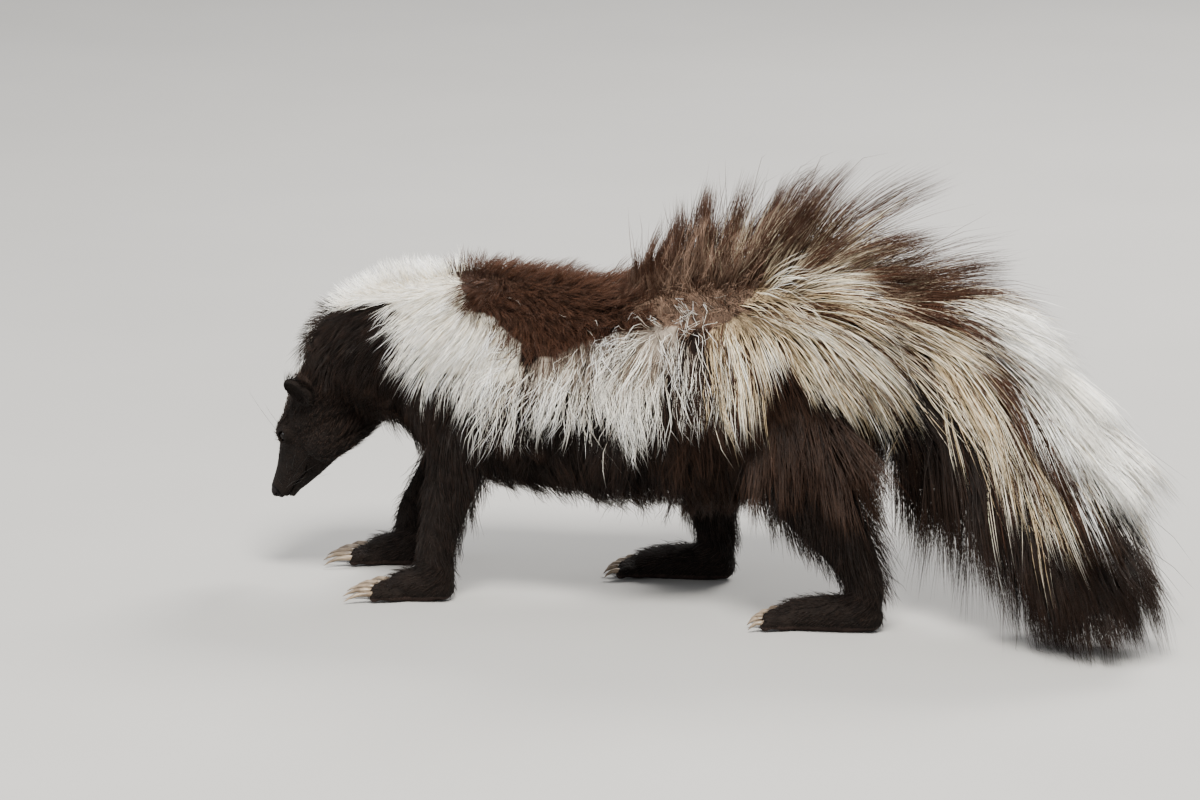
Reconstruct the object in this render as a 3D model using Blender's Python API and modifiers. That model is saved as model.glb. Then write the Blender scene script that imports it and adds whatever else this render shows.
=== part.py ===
"""A striped skunk as a still, life-size display model, walking with its head down and its tail hanging.

The skunk is sculpted facing -X with the ground at z = 0. Sizes are written in centimetres and used as metres.
The flesh is one blended body that thin cuts part into head, neck, torso, tail and legs. Paws, ears, eyes and
nose pad are made on their own, and the long coat of the rump, flanks and tail is made of tapered locks.
"""

import math
import random

import bmesh
import bpy
import numpy as np
from mathutils import Matrix, Vector
from mathutils.bvhtree import BVHTree

CM = 0.01
GAP = 0.0003  # clear space between two nodes that touch
SEED = 11

# The blended body
RING_SIDES = 20
RINGS_PER_STATION = 4
VOXEL = 0.0028
SMOOTH_STEPS = 10
BODY_TRIANGLES = 2340

# Head, as if level with its nose tip at the origin: distance behind the nose, top, bottom, half width, in cm
NOSE_TIP = Vector((-20.9, 0, 4.7)) * CM
HEAD_PITCH = math.radians(57)
SKULL = {
    "muzzle tip": (0.5, 0.75, -0.80, 0.80),
    "muzzle": (1.7, 1.15, -1.30, 1.20),
    "cheek front": (3.0, 1.75, -1.75, 1.75),
    "brow": (4.3, 2.45, -2.15, 2.45),
    "forehead": (5.6, 2.90, -2.55, 3.05),
    "crown": (7.2, 3.20, -2.90, 3.40),
    "occiput": (8.8, 3.15, -3.10, 3.35),
    "nape": (10.4, 2.70, -3.00, 3.00),
}

# Neck: x, z of its axis, half height above, half height below, half width, in cm
NECK = {
    "in the chest": (-8.6, 13.4, 4.6, 5.0, 4.4),
    "base": (-11.4, 14.1, 4.7, 5.8, 4.7),
    "middle": (-13.9, 13.8, 4.5, 5.6, 4.4),
    "top": (-15.7, 12.6, 4.1, 4.6, 3.9),
    "in the head": (-16.9, 11.0, 3.0, 3.0, 3.0),
}

# Torso: x, height of the back, height of the belly, half width, in cm
TORSO = {
    "breast": (-12.9, 16.0, 8.6, 3.0),
    "shoulder front": (-11.2, 18.7, 6.9, 4.7),
    "shoulder": (-8.4, 19.6, 5.9, 5.6),
    "ribs": (-4.2, 19.3, 5.3, 6.1),
    "waist": (0.2, 18.8, 5.2, 6.2),
    "loin": (4.4, 20.4, 5.7, 6.7),
    "hip": (8.6, 21.7, 7.0, 7.0),
    "haunch": (12.0, 21.4, 9.4, 6.0),
    "tail root": (14.8, 19.4, 12.2, 4.0),
    "in the tail": (16.6, 17.6, 13.8, 2.2),
}

# Tail's core of flesh and underfur: x, y, z of its axis and its radius, in cm
TAIL = {
    "in the rump": (12.6, 0.0, 16.0, 2.0),
    "root": (16.0, -0.3, 16.4, 2.2),
    "bend": (19.4, -1.1, 16.0, 2.6),
    "middle": (22.6, -2.4, 13.8, 2.8),
    "lower": (25.4, -3.8, 10.4, 2.5),
    "end": (27.6, -5.2, 6.9, 1.8),
    "tip": (28.8, -6.0, 4.6, 0.8),
}

# Long locks. Rows on the torso: angle from the top of the back, where along x, in cm, length, in cm,
# lift off the skin, backwards and downwards parts of the way they start and of the way they end
LOCK_ROWS = {
    "crest": (0, (-1.8, 14.6, 9), (3.0, 5.2), (0.86, 0.50, 0.0), (0.50, 0.86, 0.0)),
    "crest side": (21, (-0.8, 13.8, 8), (3.0, 5.4), (0.84, 0.48, 0.0), (0.46, 0.86, 0.05)),
    "rump top": (40, (0.4, 14.4, 8), (4.0, 5.8), (0.62, 0.58, 0.18), (-0.05, 0.80, 0.45)),
    "rump side": (56, (1.8, 13.6, 7), (5.0, 6.8), (0.34, 0.50, 0.52), (-0.40, 0.40, 0.86)),
    "hip": (72, (3.6, 12.8, 5), (6.4, 8.0), (0.24, 0.28, 0.80), (-0.42, 0.22, 0.95)),
    "flank": (70, (-5.6, 2.2, 4), (4.4, 6.6), (0.20, 0.52, 0.66), (-0.28, 0.30, 0.92)),
    "flank low": (88, (-3.4, 3.4, 3), (4.0, 5.0), (0.20, 0.40, 0.78), (-0.30, 0.22, 0.95)),
}
CREST_ANGLE, CREST_SPREAD = 50, 0.65  # rows nearer the top than this angle fan out less
LOCK_HALF_WIDTH, LOCK_HALF_THICK = 1.10 * CM, 0.34 * CM
LOCK_SIDES = 3
LOCK_STEPS = (0.0, 0.30, 0.62, 0.86, 1.0)
LOCK_WIDTHS = (0.60, 0.92, 1.0, 0.86, 0.50)
LOCK_THICKS = (0.9, 1.0, 1.0, 0.85, 0.50)
LOCK_STRAY = 0.06
LOCK_LENGTHS, TORSO_LOCK_SIZES, TAIL_LOCK_SIZES = (0.88, 1.12), (0.85, 1.1), (0.9, 1.15)  # chance ranges
LOCK_PLACE, LOCK_TURN, TIER_TURN = 0.15, 3, 0.2  # chance in a lock's place, in spacings, degrees and spacings
LENGTH_RISE = 1.8  # how soon along a row its locks reach their full length
LOCK_SPLAY = 0.2  # outward part of the downward way
LOCK_ROOT, ROOT_LEAN = 0.9 * CM, 1.2  # how deep roots go, and how steeply
ROOT_CLEAR = 0.75 * CM  # of a root from the legs inside the body
TORSO_AXIS = 13.6 * CM
LOCK_CLEAR = 0.20 * CM  # from another node's rounded surface
SEAM_CLEAR = 0.06 * CM  # from the seam between the torso's locks and the tail's

# The tail's locks stand in tiers round its axis
TAIL_TIERS, TAIL_AROUND = 7, 8
TAIL_LENGTHS = (7.0, 8.6, 9.0, 8.2, 6.8)
TAIL_START, TAIL_END = (0.72, 0.70), (0.94, 0.04)  # along the tail, out from it
TAIL_DROOP, UNDER_DROOP = 0.30, 1.0  # downward part of their ends, and more of it on the underside
UNDER_GROWTH = 0.30  # how much longer they are there
FLOOR_CLEAR = 0.25 * CM

# Legs: x, distance from the middle plane, z, half depth fore and aft, half width, in cm
LEGS = {
    "fore_left": [(-9.6, 2.9, 12.8, 3.4, 2.2), (-8.6, 3.8, 9.2, 2.5, 2.0), (-9.2, 4.1, 6.0, 1.9, 1.6),
                  (-9.9, 4.2, 3.2, 1.45, 1.3), (-10.0, 4.2, 1.2, 1.3, 1.2)],
    "fore_right": [(-10.4, 2.9, 12.8, 3.4, 2.2), (-10.4, 3.8, 9.2, 2.5, 2.0), (-12.0, 4.1, 6.0, 1.9, 1.6),
                   (-13.6, 4.2, 3.2, 1.45, 1.3), (-13.8, 4.2, 1.2, 1.3, 1.2)],
    "hind_left": [(10.6, 3.2, 12.2, 4.2, 2.6), (11.4, 4.4, 10.6, 4.0, 2.6), (12.9, 5.0, 7.6, 3.3, 2.2),
                  (14.7, 5.1, 4.8, 2.4, 1.8), (15.6, 5.1, 2.8, 1.7, 1.4), (15.6, 5.1, 1.2, 1.4, 1.25)],
    "hind_right": [(8.8, 3.2, 12.2, 4.2, 2.6), (6.8, 4.4, 10.6, 4.0, 2.6), (4.4, 5.0, 7.6, 3.3, 2.2),
                   (4.0, 5.1, 4.8, 2.4, 1.8), (4.4, 5.1, 2.8, 1.7, 1.4), (4.4, 5.1, 1.2, 1.4, 1.25)],
}

# Feet from the heel to the toes' roots: distance ahead of the ankle, height, half height, half width, in cm
FEET = {
    "fore": [(-1.1, 0.80, 0.75, 0.85), (0.2, 0.90, 1.15, 1.15), (1.6, 0.75, 1.10, 1.35), (2.5, 0.55, 0.85, 1.30)],
    "hind": [(-1.3, 0.80, 0.80, 0.85), (0.6, 0.95, 1.20, 1.20), (2.4, 0.85, 1.15, 1.40),
             (3.8, 0.70, 1.00, 1.50), (4.5, 0.55, 0.85, 1.40)],
}
PAW_CUT = 2.4 * CM
TOES = 5
TOE_SPREAD = math.radians(14)  # turn from each toe to the next
TOE_LENGTH, TOE_RADIUS, TOE_HEIGHT = 1.3 * CM, 0.42 * CM, 0.40 * CM
TOE_STEP = 1.45  # from each toe's middle to the next, in radii
TOE_ARC = 1.6  # how far the outer toes' roots lie back
TOE_FORM = ((-0.31, 0.0, 0.95), (0.40, 0.08, 1.02), (0.82, 0.0, 0.88), (1.0, 0.0, 0.45))  # share, lift, size
CLAW_FORM = ((0.0, 0.12, 1.0), (0.60, 0.15, 0.72), (1.0, -0.22, 0.0))
CLAW_ROOT, CLAW_FLAT = 0.75, 0.8
CLAW = {"fore": 1.9 * CM, "hind": 1.1 * CM}
CLAW_RADIUS = 0.19 * CM

# Where the parts are cut: a point on each cut and the way out of the body, in cm
CUTS = {
    "head": ((-15.5, 0, 13.2), (-0.55, 0, -0.83)),
    "neck": ((-11.9, 0, 13.5), (-0.97, 0, 0.24)),
    "tail": ((15.5, 0, 16.2), (1, 0, 0)),
}
SEAM_X, SEAM_Z, SEAM_LEAN = 15.5 * CM, 18.2 * CM, 0.74  # the torso's locks lean back over the tail's

# Places on the level head: behind the nose, out from the middle, above the axis, in cm
EYE_PLACE = (4.0, 1.83, 1.30)
EYE_RADIUS, EYE_DEPTH = 0.42 * CM, 0.20 * CM
LID_LONG, LID_HIGH, LID_RADIUS, LID_STEPS = 0.41 * CM, 0.34 * CM, 0.11 * CM, 10
EAR_PLACE = (7.0, 3.0, 1.45)
EAR_HEIGHT, EAR_WIDTH, EAR_DEPTH = 2.2 * CM, 2.0 * CM, 0.95 * CM
EAR_LIFT, EAR_WALL, EAR_CUP_SHIFT = 0.45 * CM, 0.20 * CM, 0.26 * CM
EAR_UP, EAR_FACE = (0.35, 0.50, 0.80), (-0.75, 0.65, 0.0)
NOSE_PLACE = (0.32, 0, 0.12)
NOSE_SIZE = [0.50 * CM, 0.60 * CM, 0.46 * CM]
NOSTRIL_PLACE = (-0.13, 0.27, 0.10)
NOSTRIL_SIZE = [0.16 * CM, 0.13 * CM, 0.14 * CM]
MOUTH_BACK, MOUTH_HEIGHT = 3.2, -0.62
MOUTH_SWEEP, MOUTH_STEPS = math.radians(86), 6
MOUTH_SAG, MOUTH_SMILE = 0.30, 1.0
MOUTH_LINE, LIP_RADIUS = 0.055 * CM, 0.16 * CM

COLOURS = {
    "head": ((0.030, 0.022, 0.018), 0.70), "nose": ((0.020, 0.015, 0.015), 0.35),
    "eye": ((0.008, 0.006, 0.005), 0.10), "ear": ((0.040, 0.028, 0.024), 0.70),
    "neck": ((0.055, 0.035, 0.028), 0.75), "torso": ((0.060, 0.036, 0.026), 0.75),
    "tail": ((0.55, 0.46, 0.33), 0.75), "leg": ((0.028, 0.018, 0.013), 0.75),
    "paw": ((0.030, 0.022, 0.018), 0.70),
}

SLEEVE_ROOM, SLEEVE_DROP = 2.2 * CM, 2 * CM  # of the cutter round a leg, wider downwards and past the sole


def clear_scene():
    for obj in list(bpy.data.objects):
        bpy.data.objects.remove(obj)


def collection(name, hidden=False):
    made = bpy.data.collections.new(name)
    bpy.context.scene.collection.children.link(made)
    made.hide_render = hidden
    return made


def add_mesh(name, mesh, home):
    obj = bpy.data.objects.new(name, mesh)
    home.objects.link(obj)
    return obj


def from_bmesh(name, bm, home):
    bmesh.ops.recalc_face_normals(bm, faces=bm.faces)
    mesh = bpy.data.meshes.new(name)
    bm.to_mesh(mesh)
    bm.free()
    return add_mesh(name, mesh, home)


def apply_modifiers(obj):
    """The object's mesh becomes what its modifiers make of it."""
    graph = bpy.context.evaluated_depsgraph_get()
    made = bpy.data.meshes.new_from_object(obj.evaluated_get(graph))
    obj.modifiers.clear()
    obj.data = made
    return obj


def boolean(obj, operation, other, solver="MANIFOLD"):
    """Joins, cuts or keeps what is common, with an object or a whole collection, and applies it."""
    modifier = obj.modifiers.new(operation, "BOOLEAN")
    modifier.operation = operation
    modifier.solver = solver
    if isinstance(other, bpy.types.Collection):
        modifier.operand_type = "COLLECTION"
        modifier.collection = other
    else:
        modifier.object = other
    return apply_modifiers(obj)


def shell_volume(faces):
    return sum(f.verts[0].co.dot(f.verts[1].co.cross(f.verts[2].co)) for f in faces) / 6


def shells_of(bm):
    """The separate closed surfaces of a mesh, the largest first, each as a list of faces."""
    seen, shells = set(), []
    for start in bm.faces:
        if start in seen:
            continue
        seen.add(start)
        shell, waiting = [], [start]
        while waiting:
            face = waiting.pop()
            shell.append(face)
            for edge in face.edges:
                for other in edge.link_faces:
                    if other not in seen:
                        seen.add(other)
                        waiting.append(other)
        shells.append(shell)
    return sorted(shells, key=shell_volume, reverse=True)


def keep_shell(obj, wanted=0):
    """Drops all but one closed surface: loose scraps and sealed hollows when it is the largest."""
    bm = bmesh.new()
    bm.from_mesh(obj.data)
    bmesh.ops.triangulate(bm, faces=bm.faces)
    shells = shells_of(bm)
    others = [face for i, shell in enumerate(shells) if i != wanted for face in shell]
    bmesh.ops.delete(bm, geom=others, context="FACES")
    bm.to_mesh(obj.data)
    bm.free()
    return obj


def between(stations, count):
    """Catmull-Rom values through the stations, with count steps from each to the next."""
    points = np.array(stations, float)
    padded = np.vstack([2 * points[0] - points[1], points, 2 * points[-1] - points[-2]])
    rows = []
    for i in range(len(points) - 1):
        a, b, c, d = padded[i : i + 4]
        for step in range(count):
            t = step / count
            rows.append(0.5 * (2 * b + (c - a) * t + (2 * a - 5 * b + 4 * c - d) * t**2
                               + (3 * b - a - 3 * c + d) * t**3))
    rows.append(points[-1])
    return np.array(rows)


def tube(name, rings, home, sides=RING_SIDES, side_way=(0, 1, 0)):
    """A closed loft. Each ring is a centre and three half sizes: above, below and to the side of its axis."""
    centres = rings[:, :3]
    ways = np.gradient(centres, axis=0)
    bm = bmesh.new()
    loops = []
    for centre, way, (above, below, width) in zip(centres, ways, rings[:, 3:6]):
        tangent = Vector(way).normalized()
        side = Vector(side_way)
        side = (side - tangent * side.dot(tangent)).normalized()
        up = tangent.cross(side) * -1
        loop = []
        for k in range(sides):
            angle = 2 * math.pi * k / sides
            rise = math.sin(angle)
            offset = side * width * math.cos(angle) + up * rise * (above if rise > 0 else below)
            loop.append(bm.verts.new(Vector(centre) + offset))
        loops.append(loop)
    for a, b in zip(loops, loops[1:]):
        for k in range(sides):
            j = (k + 1) % sides
            bm.faces.new((a[k], a[j], b[j], b[k]))
    for loop in (loops[0], loops[-1]):
        centre = bm.verts.new(sum((v.co for v in loop), Vector()) / sides)
        for k in range(sides):
            bm.faces.new((loop[k], loop[(k + 1) % sides], centre))
    return from_bmesh(name, bm, home)


def head_to_world():
    """Tips the level head down and sets its nose tip in place."""
    return Matrix.Translation(NOSE_TIP) @ Matrix.Rotation(-HEAD_PITCH, 4, "Y")


def on_head(behind, out, above):
    """A point of the level head, in cm, as a place in the world."""
    return head_to_world() @ (Vector((behind, out, above)) * CM)


def skull_rings():
    rows = [(s, 0, (top + bottom) / 2, (top - bottom) / 2, (top - bottom) / 2, width)
            for s, top, bottom, width in SKULL.values()]
    rings = between(rows, RINGS_PER_STATION) * CM
    turn = head_to_world()
    for ring in rings:
        ring[:3] = turn @ Vector(ring[:3])
    return rings


def neck_rings():
    rows = [(x, 0, z, above, below, width) for x, z, above, below, width in NECK.values()]
    return between(rows, RINGS_PER_STATION) * CM


def torso_rings():
    rows = [(x, 0, (top + bottom) / 2, (top - bottom) / 2, (top - bottom) / 2, width)
            for x, top, bottom, width in TORSO.values()]
    return between(rows, RINGS_PER_STATION) * CM


def tail_rings():
    rows = [(x, y, z, r, r, r) for x, y, z, r in TAIL.values()]
    return between(rows, RINGS_PER_STATION) * CM


def leg_rings(name):
    side = -1 if name.endswith("left") else 1
    rows = [(x, side * y, z, depth, depth, width) for x, y, z, depth, width in LEGS[name]]
    return between(rows, RINGS_PER_STATION) * CM


def ankle(name):
    x, y = LEGS[name][-1][:2]
    return Vector((x, -y if name.endswith("left") else y, 0)) * CM


def foot_rings(name):
    middle = ankle(name) / CM
    rows = [(middle.x - ahead, middle.y, z, height, height, width)
            for ahead, z, height, width in FEET[name.split("_")[0]]]
    return between(rows, RINGS_PER_STATION) * CM


def blended_body(home):
    """Torso, neck, head, tail core, legs and feet run into one smooth skin, light enough to cut."""
    pieces = [tube("torso", torso_rings(), home), tube("neck", neck_rings(), home),
              tube("head", skull_rings(), home), tube("tail", tail_rings(), home)]
    for name in LEGS:
        pieces += [tube("leg", leg_rings(name), home), tube("foot", foot_rings(name), home)]
    bm = bmesh.new()
    for piece in pieces:
        bm.from_mesh(piece.data)
        bpy.data.objects.remove(piece)
    body = from_bmesh("body", bm, home)
    remesh = body.modifiers.new("blend", "REMESH")
    remesh.mode = "VOXEL"
    remesh.voxel_size = VOXEL
    smooth = body.modifiers.new("soften", "SMOOTH")
    smooth.factor = 0.5
    smooth.iterations = SMOOTH_STEPS
    apply_modifiers(body)
    thin = body.modifiers.new("thin", "DECIMATE")
    thin.ratio = BODY_TRIANGLES / (2 * len(body.data.polygons))
    thin.use_collapse_triangulate = True
    return apply_modifiers(body)


def half_space(name, point, way, home, reach=0.6):
    """A big block on the far side of a cut, with its face through the point."""
    bm = bmesh.new()
    bmesh.ops.create_cube(bm, size=1)
    bmesh.ops.scale(bm, verts=bm.verts, vec=(reach, reach, reach))
    bmesh.ops.translate(bm, verts=bm.verts, vec=(0, 0, reach / 2))
    turn = Vector(way).to_track_quat("Z", "Y").to_matrix().to_4x4()
    bmesh.ops.transform(bm, verts=bm.verts, matrix=Matrix.Translation(point) @ turn)
    return from_bmesh(name, bm, home)


def block(name, low, high, home):
    bm = bmesh.new()
    bmesh.ops.create_cube(bm, size=1)
    low, high = Vector(low), Vector(high)
    bmesh.ops.scale(bm, verts=bm.verts, vec=high - low)
    bmesh.ops.translate(bm, verts=bm.verts, vec=(low + high) / 2)
    return from_bmesh(name, bm, home)


def copy_of(obj, name, home):
    made = add_mesh(name, obj.data.copy(), home)
    return made


def part_off(body, name, inside, outside, home):
    """Takes what lies inside one cutter as a new node, and leaves the body what lies outside the other."""
    piece = copy_of(body, name, home)
    boolean(piece, "INTERSECT", inside)
    boolean(body, "DIFFERENCE", outside)
    for cutter in (inside, outside):
        bpy.data.objects.remove(cutter)
    keep_shell(body)
    return keep_shell(piece)


def cut_at(body, name, home, cutters):
    point, way = CUTS[name]
    point, way = Vector(point) * CM, Vector(way).normalized()
    inside = half_space("inside", point + way * GAP, way, cutters)
    outside = half_space("outside", point, way, cutters)
    return part_off(body, name, inside, outside, home)


def leg_cell(name, cutters):
    """A roomy sleeve round a leg that ends inside the body, where the leg is cut from it."""
    rings = leg_rings(name)
    top = rings[0, 2]
    rings[:, 3:6] += np.clip((top - rings[:, 2]) / top, 0, 1)[:, None] * SLEEVE_ROOM
    rings[-1, 2] -= SLEEVE_DROP
    return tube(name + "_cell", rings[::2], cutters, sides=12)


def grown(obj, distance, home):
    """A copy with its surface moved outwards."""
    made = copy_of(obj, obj.name + "_grown", home)
    for vertex in made.data.vertices:
        vertex.co += vertex.normal * distance
    return made


def cut_feet(body, home, cutters):
    """Takes the four feet off at one level, each as a node of its own."""
    below = block("below", (-1, -1, -1), (1, 1, PAW_CUT), cutters)
    above = block("above", (-1, -1, -1), (1, 1, PAW_CUT + GAP), cutters)
    all_feet = copy_of(body, "feet", home)
    boolean(all_feet, "INTERSECT", below)
    boolean(body, "DIFFERENCE", above)
    paws = {}
    for wanted in range(len(LEGS)):
        paw = keep_shell(copy_of(all_feet, "foot", home), wanted)
        middle = sum((v.co for v in paw.data.vertices), Vector()) / len(paw.data.vertices)
        name = min(LEGS, key=lambda leg: (ankle(leg) - middle).to_2d().length)
        paw.name = "paw_" + name
        paws[paw.name] = paw
    for spare in (below, above, all_feet):
        bpy.data.objects.remove(spare)
    return paws


def separate_parts(body, home, cutters):
    """Parts the blended body: paws, legs, head, neck and tail, and the torso that is left."""
    parts = cut_feet(body, home, cutters)
    for name in LEGS:
        inside = leg_cell(name, cutters)
        outside = grown(inside, 1.5 * GAP, cutters)
        parts["leg_" + name] = part_off(body, "leg_" + name, inside, outside, home)
    parts["neck"] = cut_at(body, "neck", home, cutters)
    parts["head"] = cut_at(parts["neck"], "head", home, cutters)
    parts["tail"] = cut_at(body, "tail", home, cutters)
    body.name = "torso"
    parts["torso"] = keep_shell(body)
    return parts


def frames_along(path, side_way):
    """The way, side and upward directions at each point of a path."""
    frames = []
    for i, point in enumerate(path):
        way = (path[min(i + 1, len(path) - 1)] - path[max(i - 1, 0)]).normalized()
        side = (side_way - way * side_way.dot(way)).normalized()
        frames.append((point, way, side, way.cross(side)))
    return frames


def spike(name, path, widths, thicks, side_way, home, sides=4, flat_end=False):
    """A closed tapered form along a path: half widths to its sides and half thicknesses across them.
    It ends in a point unless its end is flat."""
    bm = bmesh.new()
    frames = frames_along(path, side_way)
    loops = []
    body = frames if flat_end else frames[:-1]
    for (point, _, side, up), width, thick in zip(body, widths, thicks):
        loop = []
        for k in range(sides):
            angle = 2 * math.pi * (k + 0.25 * (sides % 2)) / sides
            loop.append(bm.verts.new(point + side * width * math.cos(angle) + up * thick * math.sin(angle)))
        loops.append(loop)
    for a, b in zip(loops, loops[1:]):
        for k in range(sides):
            j = (k + 1) % sides
            bm.faces.new((a[k], a[j], b[j], b[k]))
    bm.faces.new(loops[0])
    if flat_end:
        bm.faces.new(loops[-1])
    else:
        tip = bm.verts.new(path[-1])
        for k in range(sides):
            bm.faces.new((loops[-1][k], loops[-1][(k + 1) % sides], tip))
    bmesh.ops.triangulate(bm, faces=bm.faces)
    return from_bmesh(name, bm, home)


def add_toes(paw, home):
    """Five toes with curved claws, fanned from the front of the foot and flat on the ground."""
    name = paw.name.removeprefix("paw_")
    kind = name.split("_")[0]
    front = ankle(name) - Vector((FEET[kind][-2][0] * CM, 0, 0))
    reach = FEET[kind][-1][0] * CM - FEET[kind][-2][0] * CM
    side, up = Vector((0, 1, 0)), Vector((0, 0, 1))
    forms = []
    for k in range(TOES):
        step = k - (TOES - 1) / 2
        turn = step * TOE_SPREAD
        way = Vector((-math.cos(turn), math.sin(turn), 0))
        across = side * step * TOE_RADIUS * TOE_STEP
        root = front + across + Vector((-reach * math.cos(turn * TOE_ARC), 0, TOE_HEIGHT))
        path = [root + way * share * TOE_LENGTH + up * lift * CM for share, lift, _ in TOE_FORM]
        sizes = [TOE_RADIUS * size for *_, size in TOE_FORM]
        forms.append(spike("toe", path, sizes, sizes, side, home, sides=6, flat_end=True))
        base = root + way * CLAW_ROOT * TOE_LENGTH
        claw = [base + way * share * CLAW[kind] + up * lift * CM for share, lift, _ in CLAW_FORM]
        sizes = [CLAW_RADIUS * size for *_, size in CLAW_FORM]
        forms.append(spike("claw", claw, [CLAW_FLAT * s for s in sizes], sizes, side, home, sides=5))
    for form in forms:
        boolean(paw, "UNION", form)
        bpy.data.objects.remove(form)
    return keep_shell(paw)


def flatten_soles(paws, cutters):
    floor = block("floor", (-1, -1, -1), (1, 1, 0), cutters)
    for paw in paws:
        boolean(paw, "DIFFERENCE", floor)
        keep_shell(paw)
    bpy.data.objects.remove(floor)


def ball(name, centre, axes, sizes, home, segments=10, rings=7):
    """An ellipsoid with its half sizes along three axes."""
    bm = bmesh.new()
    bmesh.ops.create_uvsphere(bm, u_segments=segments, v_segments=rings, radius=1)
    turn = Matrix([[axis[i] * size for axis, size in zip(axes, sizes)] for i in range(3)]).to_4x4()
    bmesh.ops.transform(bm, verts=bm.verts, matrix=Matrix.Translation(centre) @ turn)
    bmesh.ops.triangulate(bm, faces=bm.faces)
    return from_bmesh(name, bm, home)


def ring_form(name, path, radius, home, sides=5):
    """A closed ring of round section along a closed path."""
    bm = bmesh.new()
    count = len(path)
    middle = sum(path, Vector()) / count
    loops = []
    for i, point in enumerate(path):
        way = (path[(i + 1) % count] - path[i - 1]).normalized()
        out = point - middle
        out = (out - way * out.dot(way)).normalized()
        up = way.cross(out)
        loops.append([bm.verts.new(point + (out * math.cos(a) + up * math.sin(a)) * radius)
                      for a in (2 * math.pi * k / sides for k in range(sides))])
    for i in range(count):
        a, b = loops[i], loops[(i + 1) % count]
        for k in range(sides):
            j = (k + 1) % sides
            bm.faces.new((a[k], a[j], b[j], b[k]))
    bmesh.ops.triangulate(bm, faces=bm.faces)
    return from_bmesh(name, bm, home)


def head_axes():
    turn = head_to_world().to_3x3()
    return [turn @ Vector(way) for way in ((1, 0, 0), (0, 1, 0), (0, 0, 1))]


def surface_tree(obj):
    bm = bmesh.new()
    bm.from_mesh(obj.data)
    tree = BVHTree.FromBMesh(bm)
    bm.free()
    return tree


def skin_at(tree, start, way):
    """Where a ray from inside meets the surface, and the surface's outward direction there."""
    place, normal, _, _ = tree.ray_cast(start, way)
    return place, normal


def mouth_path(tree, height):
    """Points on the muzzle from one corner of the mouth round the front to the other, in the world."""
    turn = head_to_world().to_3x3()
    points = []
    for k in range(-MOUTH_STEPS, MOUTH_STEPS + 1):
        angle = MOUTH_SWEEP * k / MOUTH_STEPS
        sag = MOUTH_SAG * math.sin(angle) ** 2 - MOUTH_SMILE * max(0, abs(k) / MOUTH_STEPS - 0.75)
        start = on_head(MOUTH_BACK, 0, height - sag)
        way = turn @ Vector((-math.cos(angle), math.sin(angle), 0))
        points.append(skin_at(tree, start, way)[0])
    return points


def shape_mouth(head, home):
    """Raised lips with the line of the mouth cut between them."""
    tree = surface_tree(head)
    up = head_axes()[2]
    for height in (MOUTH_HEIGHT + LIP_RADIUS / CM, MOUTH_HEIGHT - LIP_RADIUS / CM):
        path = mouth_path(tree, height)
        sizes = [LIP_RADIUS * min(1, 0.35 + 0.25 * min(i, len(path) - 1 - i)) for i in range(len(path))]
        lip = spike("lip", path, sizes, sizes, up, home, flat_end=True)
        boolean(head, "UNION", lip)
        bpy.data.objects.remove(lip)
    path = mouth_path(surface_tree(head), MOUTH_HEIGHT)
    sizes = [MOUTH_LINE] * len(path)
    line = spike("mouth line", path, sizes, [2 * MOUTH_LINE] * len(path), up, home, sides=4, flat_end=True)
    boolean(head, "DIFFERENCE", line)
    bpy.data.objects.remove(line)


def eye_place(tree, side):
    """Where an eye's middle lies, and the way it looks."""
    behind, out, above = EYE_PLACE
    start = on_head(behind + 0.6, 0, above)
    way = (on_head(behind, side * out, above) - start).normalized()
    place, normal = skin_at(tree, start, way)
    return place - normal * EYE_DEPTH, normal


def make_eyes(head, home):
    """Round eyes, each in a socket of the head between raised lids."""
    tree = surface_tree(head)
    forward, _, up = head_axes()
    eyes = []
    for side, name in ((-1, "eye_left"), (1, "eye_right")):
        middle, out = eye_place(tree, side)
        along = (forward - out * forward.dot(out)).normalized()
        over = out.cross(along)
        path = []
        for k in range(LID_STEPS):
            a = 2 * math.pi * k / LID_STEPS
            path.append(middle + out * (EYE_DEPTH + 0.2 * LID_RADIUS)
                        + along * math.cos(a) * LID_LONG + over * math.sin(a) * LID_HIGH)
        lids = ring_form("lids", path, LID_RADIUS, home)
        boolean(head, "UNION", lids)
        eye = ball(name, middle, (along, over, out), [EYE_RADIUS] * 3, home)
        socket = grown(eye, GAP, home)
        boolean(head, "DIFFERENCE", socket)
        for spare in (lids, socket):
            bpy.data.objects.remove(spare)
        eyes.append(eye)
    return eyes


def make_nose(head, home):
    """A bare pad with two nostrils, let into the end of the muzzle."""
    axes = head_axes()
    nose = ball("nose", on_head(*NOSE_PLACE), axes, NOSE_SIZE, home)
    socket = grown(nose, GAP, home)
    boolean(head, "DIFFERENCE", socket)
    bpy.data.objects.remove(socket)
    for side in (-1, 1):
        behind, out, above = NOSTRIL_PLACE
        nostril = ball("nostril", on_head(behind, side * out, above), axes, NOSTRIL_SIZE, home, 8, 6)
        boolean(nose, "DIFFERENCE", nostril)
        bpy.data.objects.remove(nostril)
    return keep_shell(nose)


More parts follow.
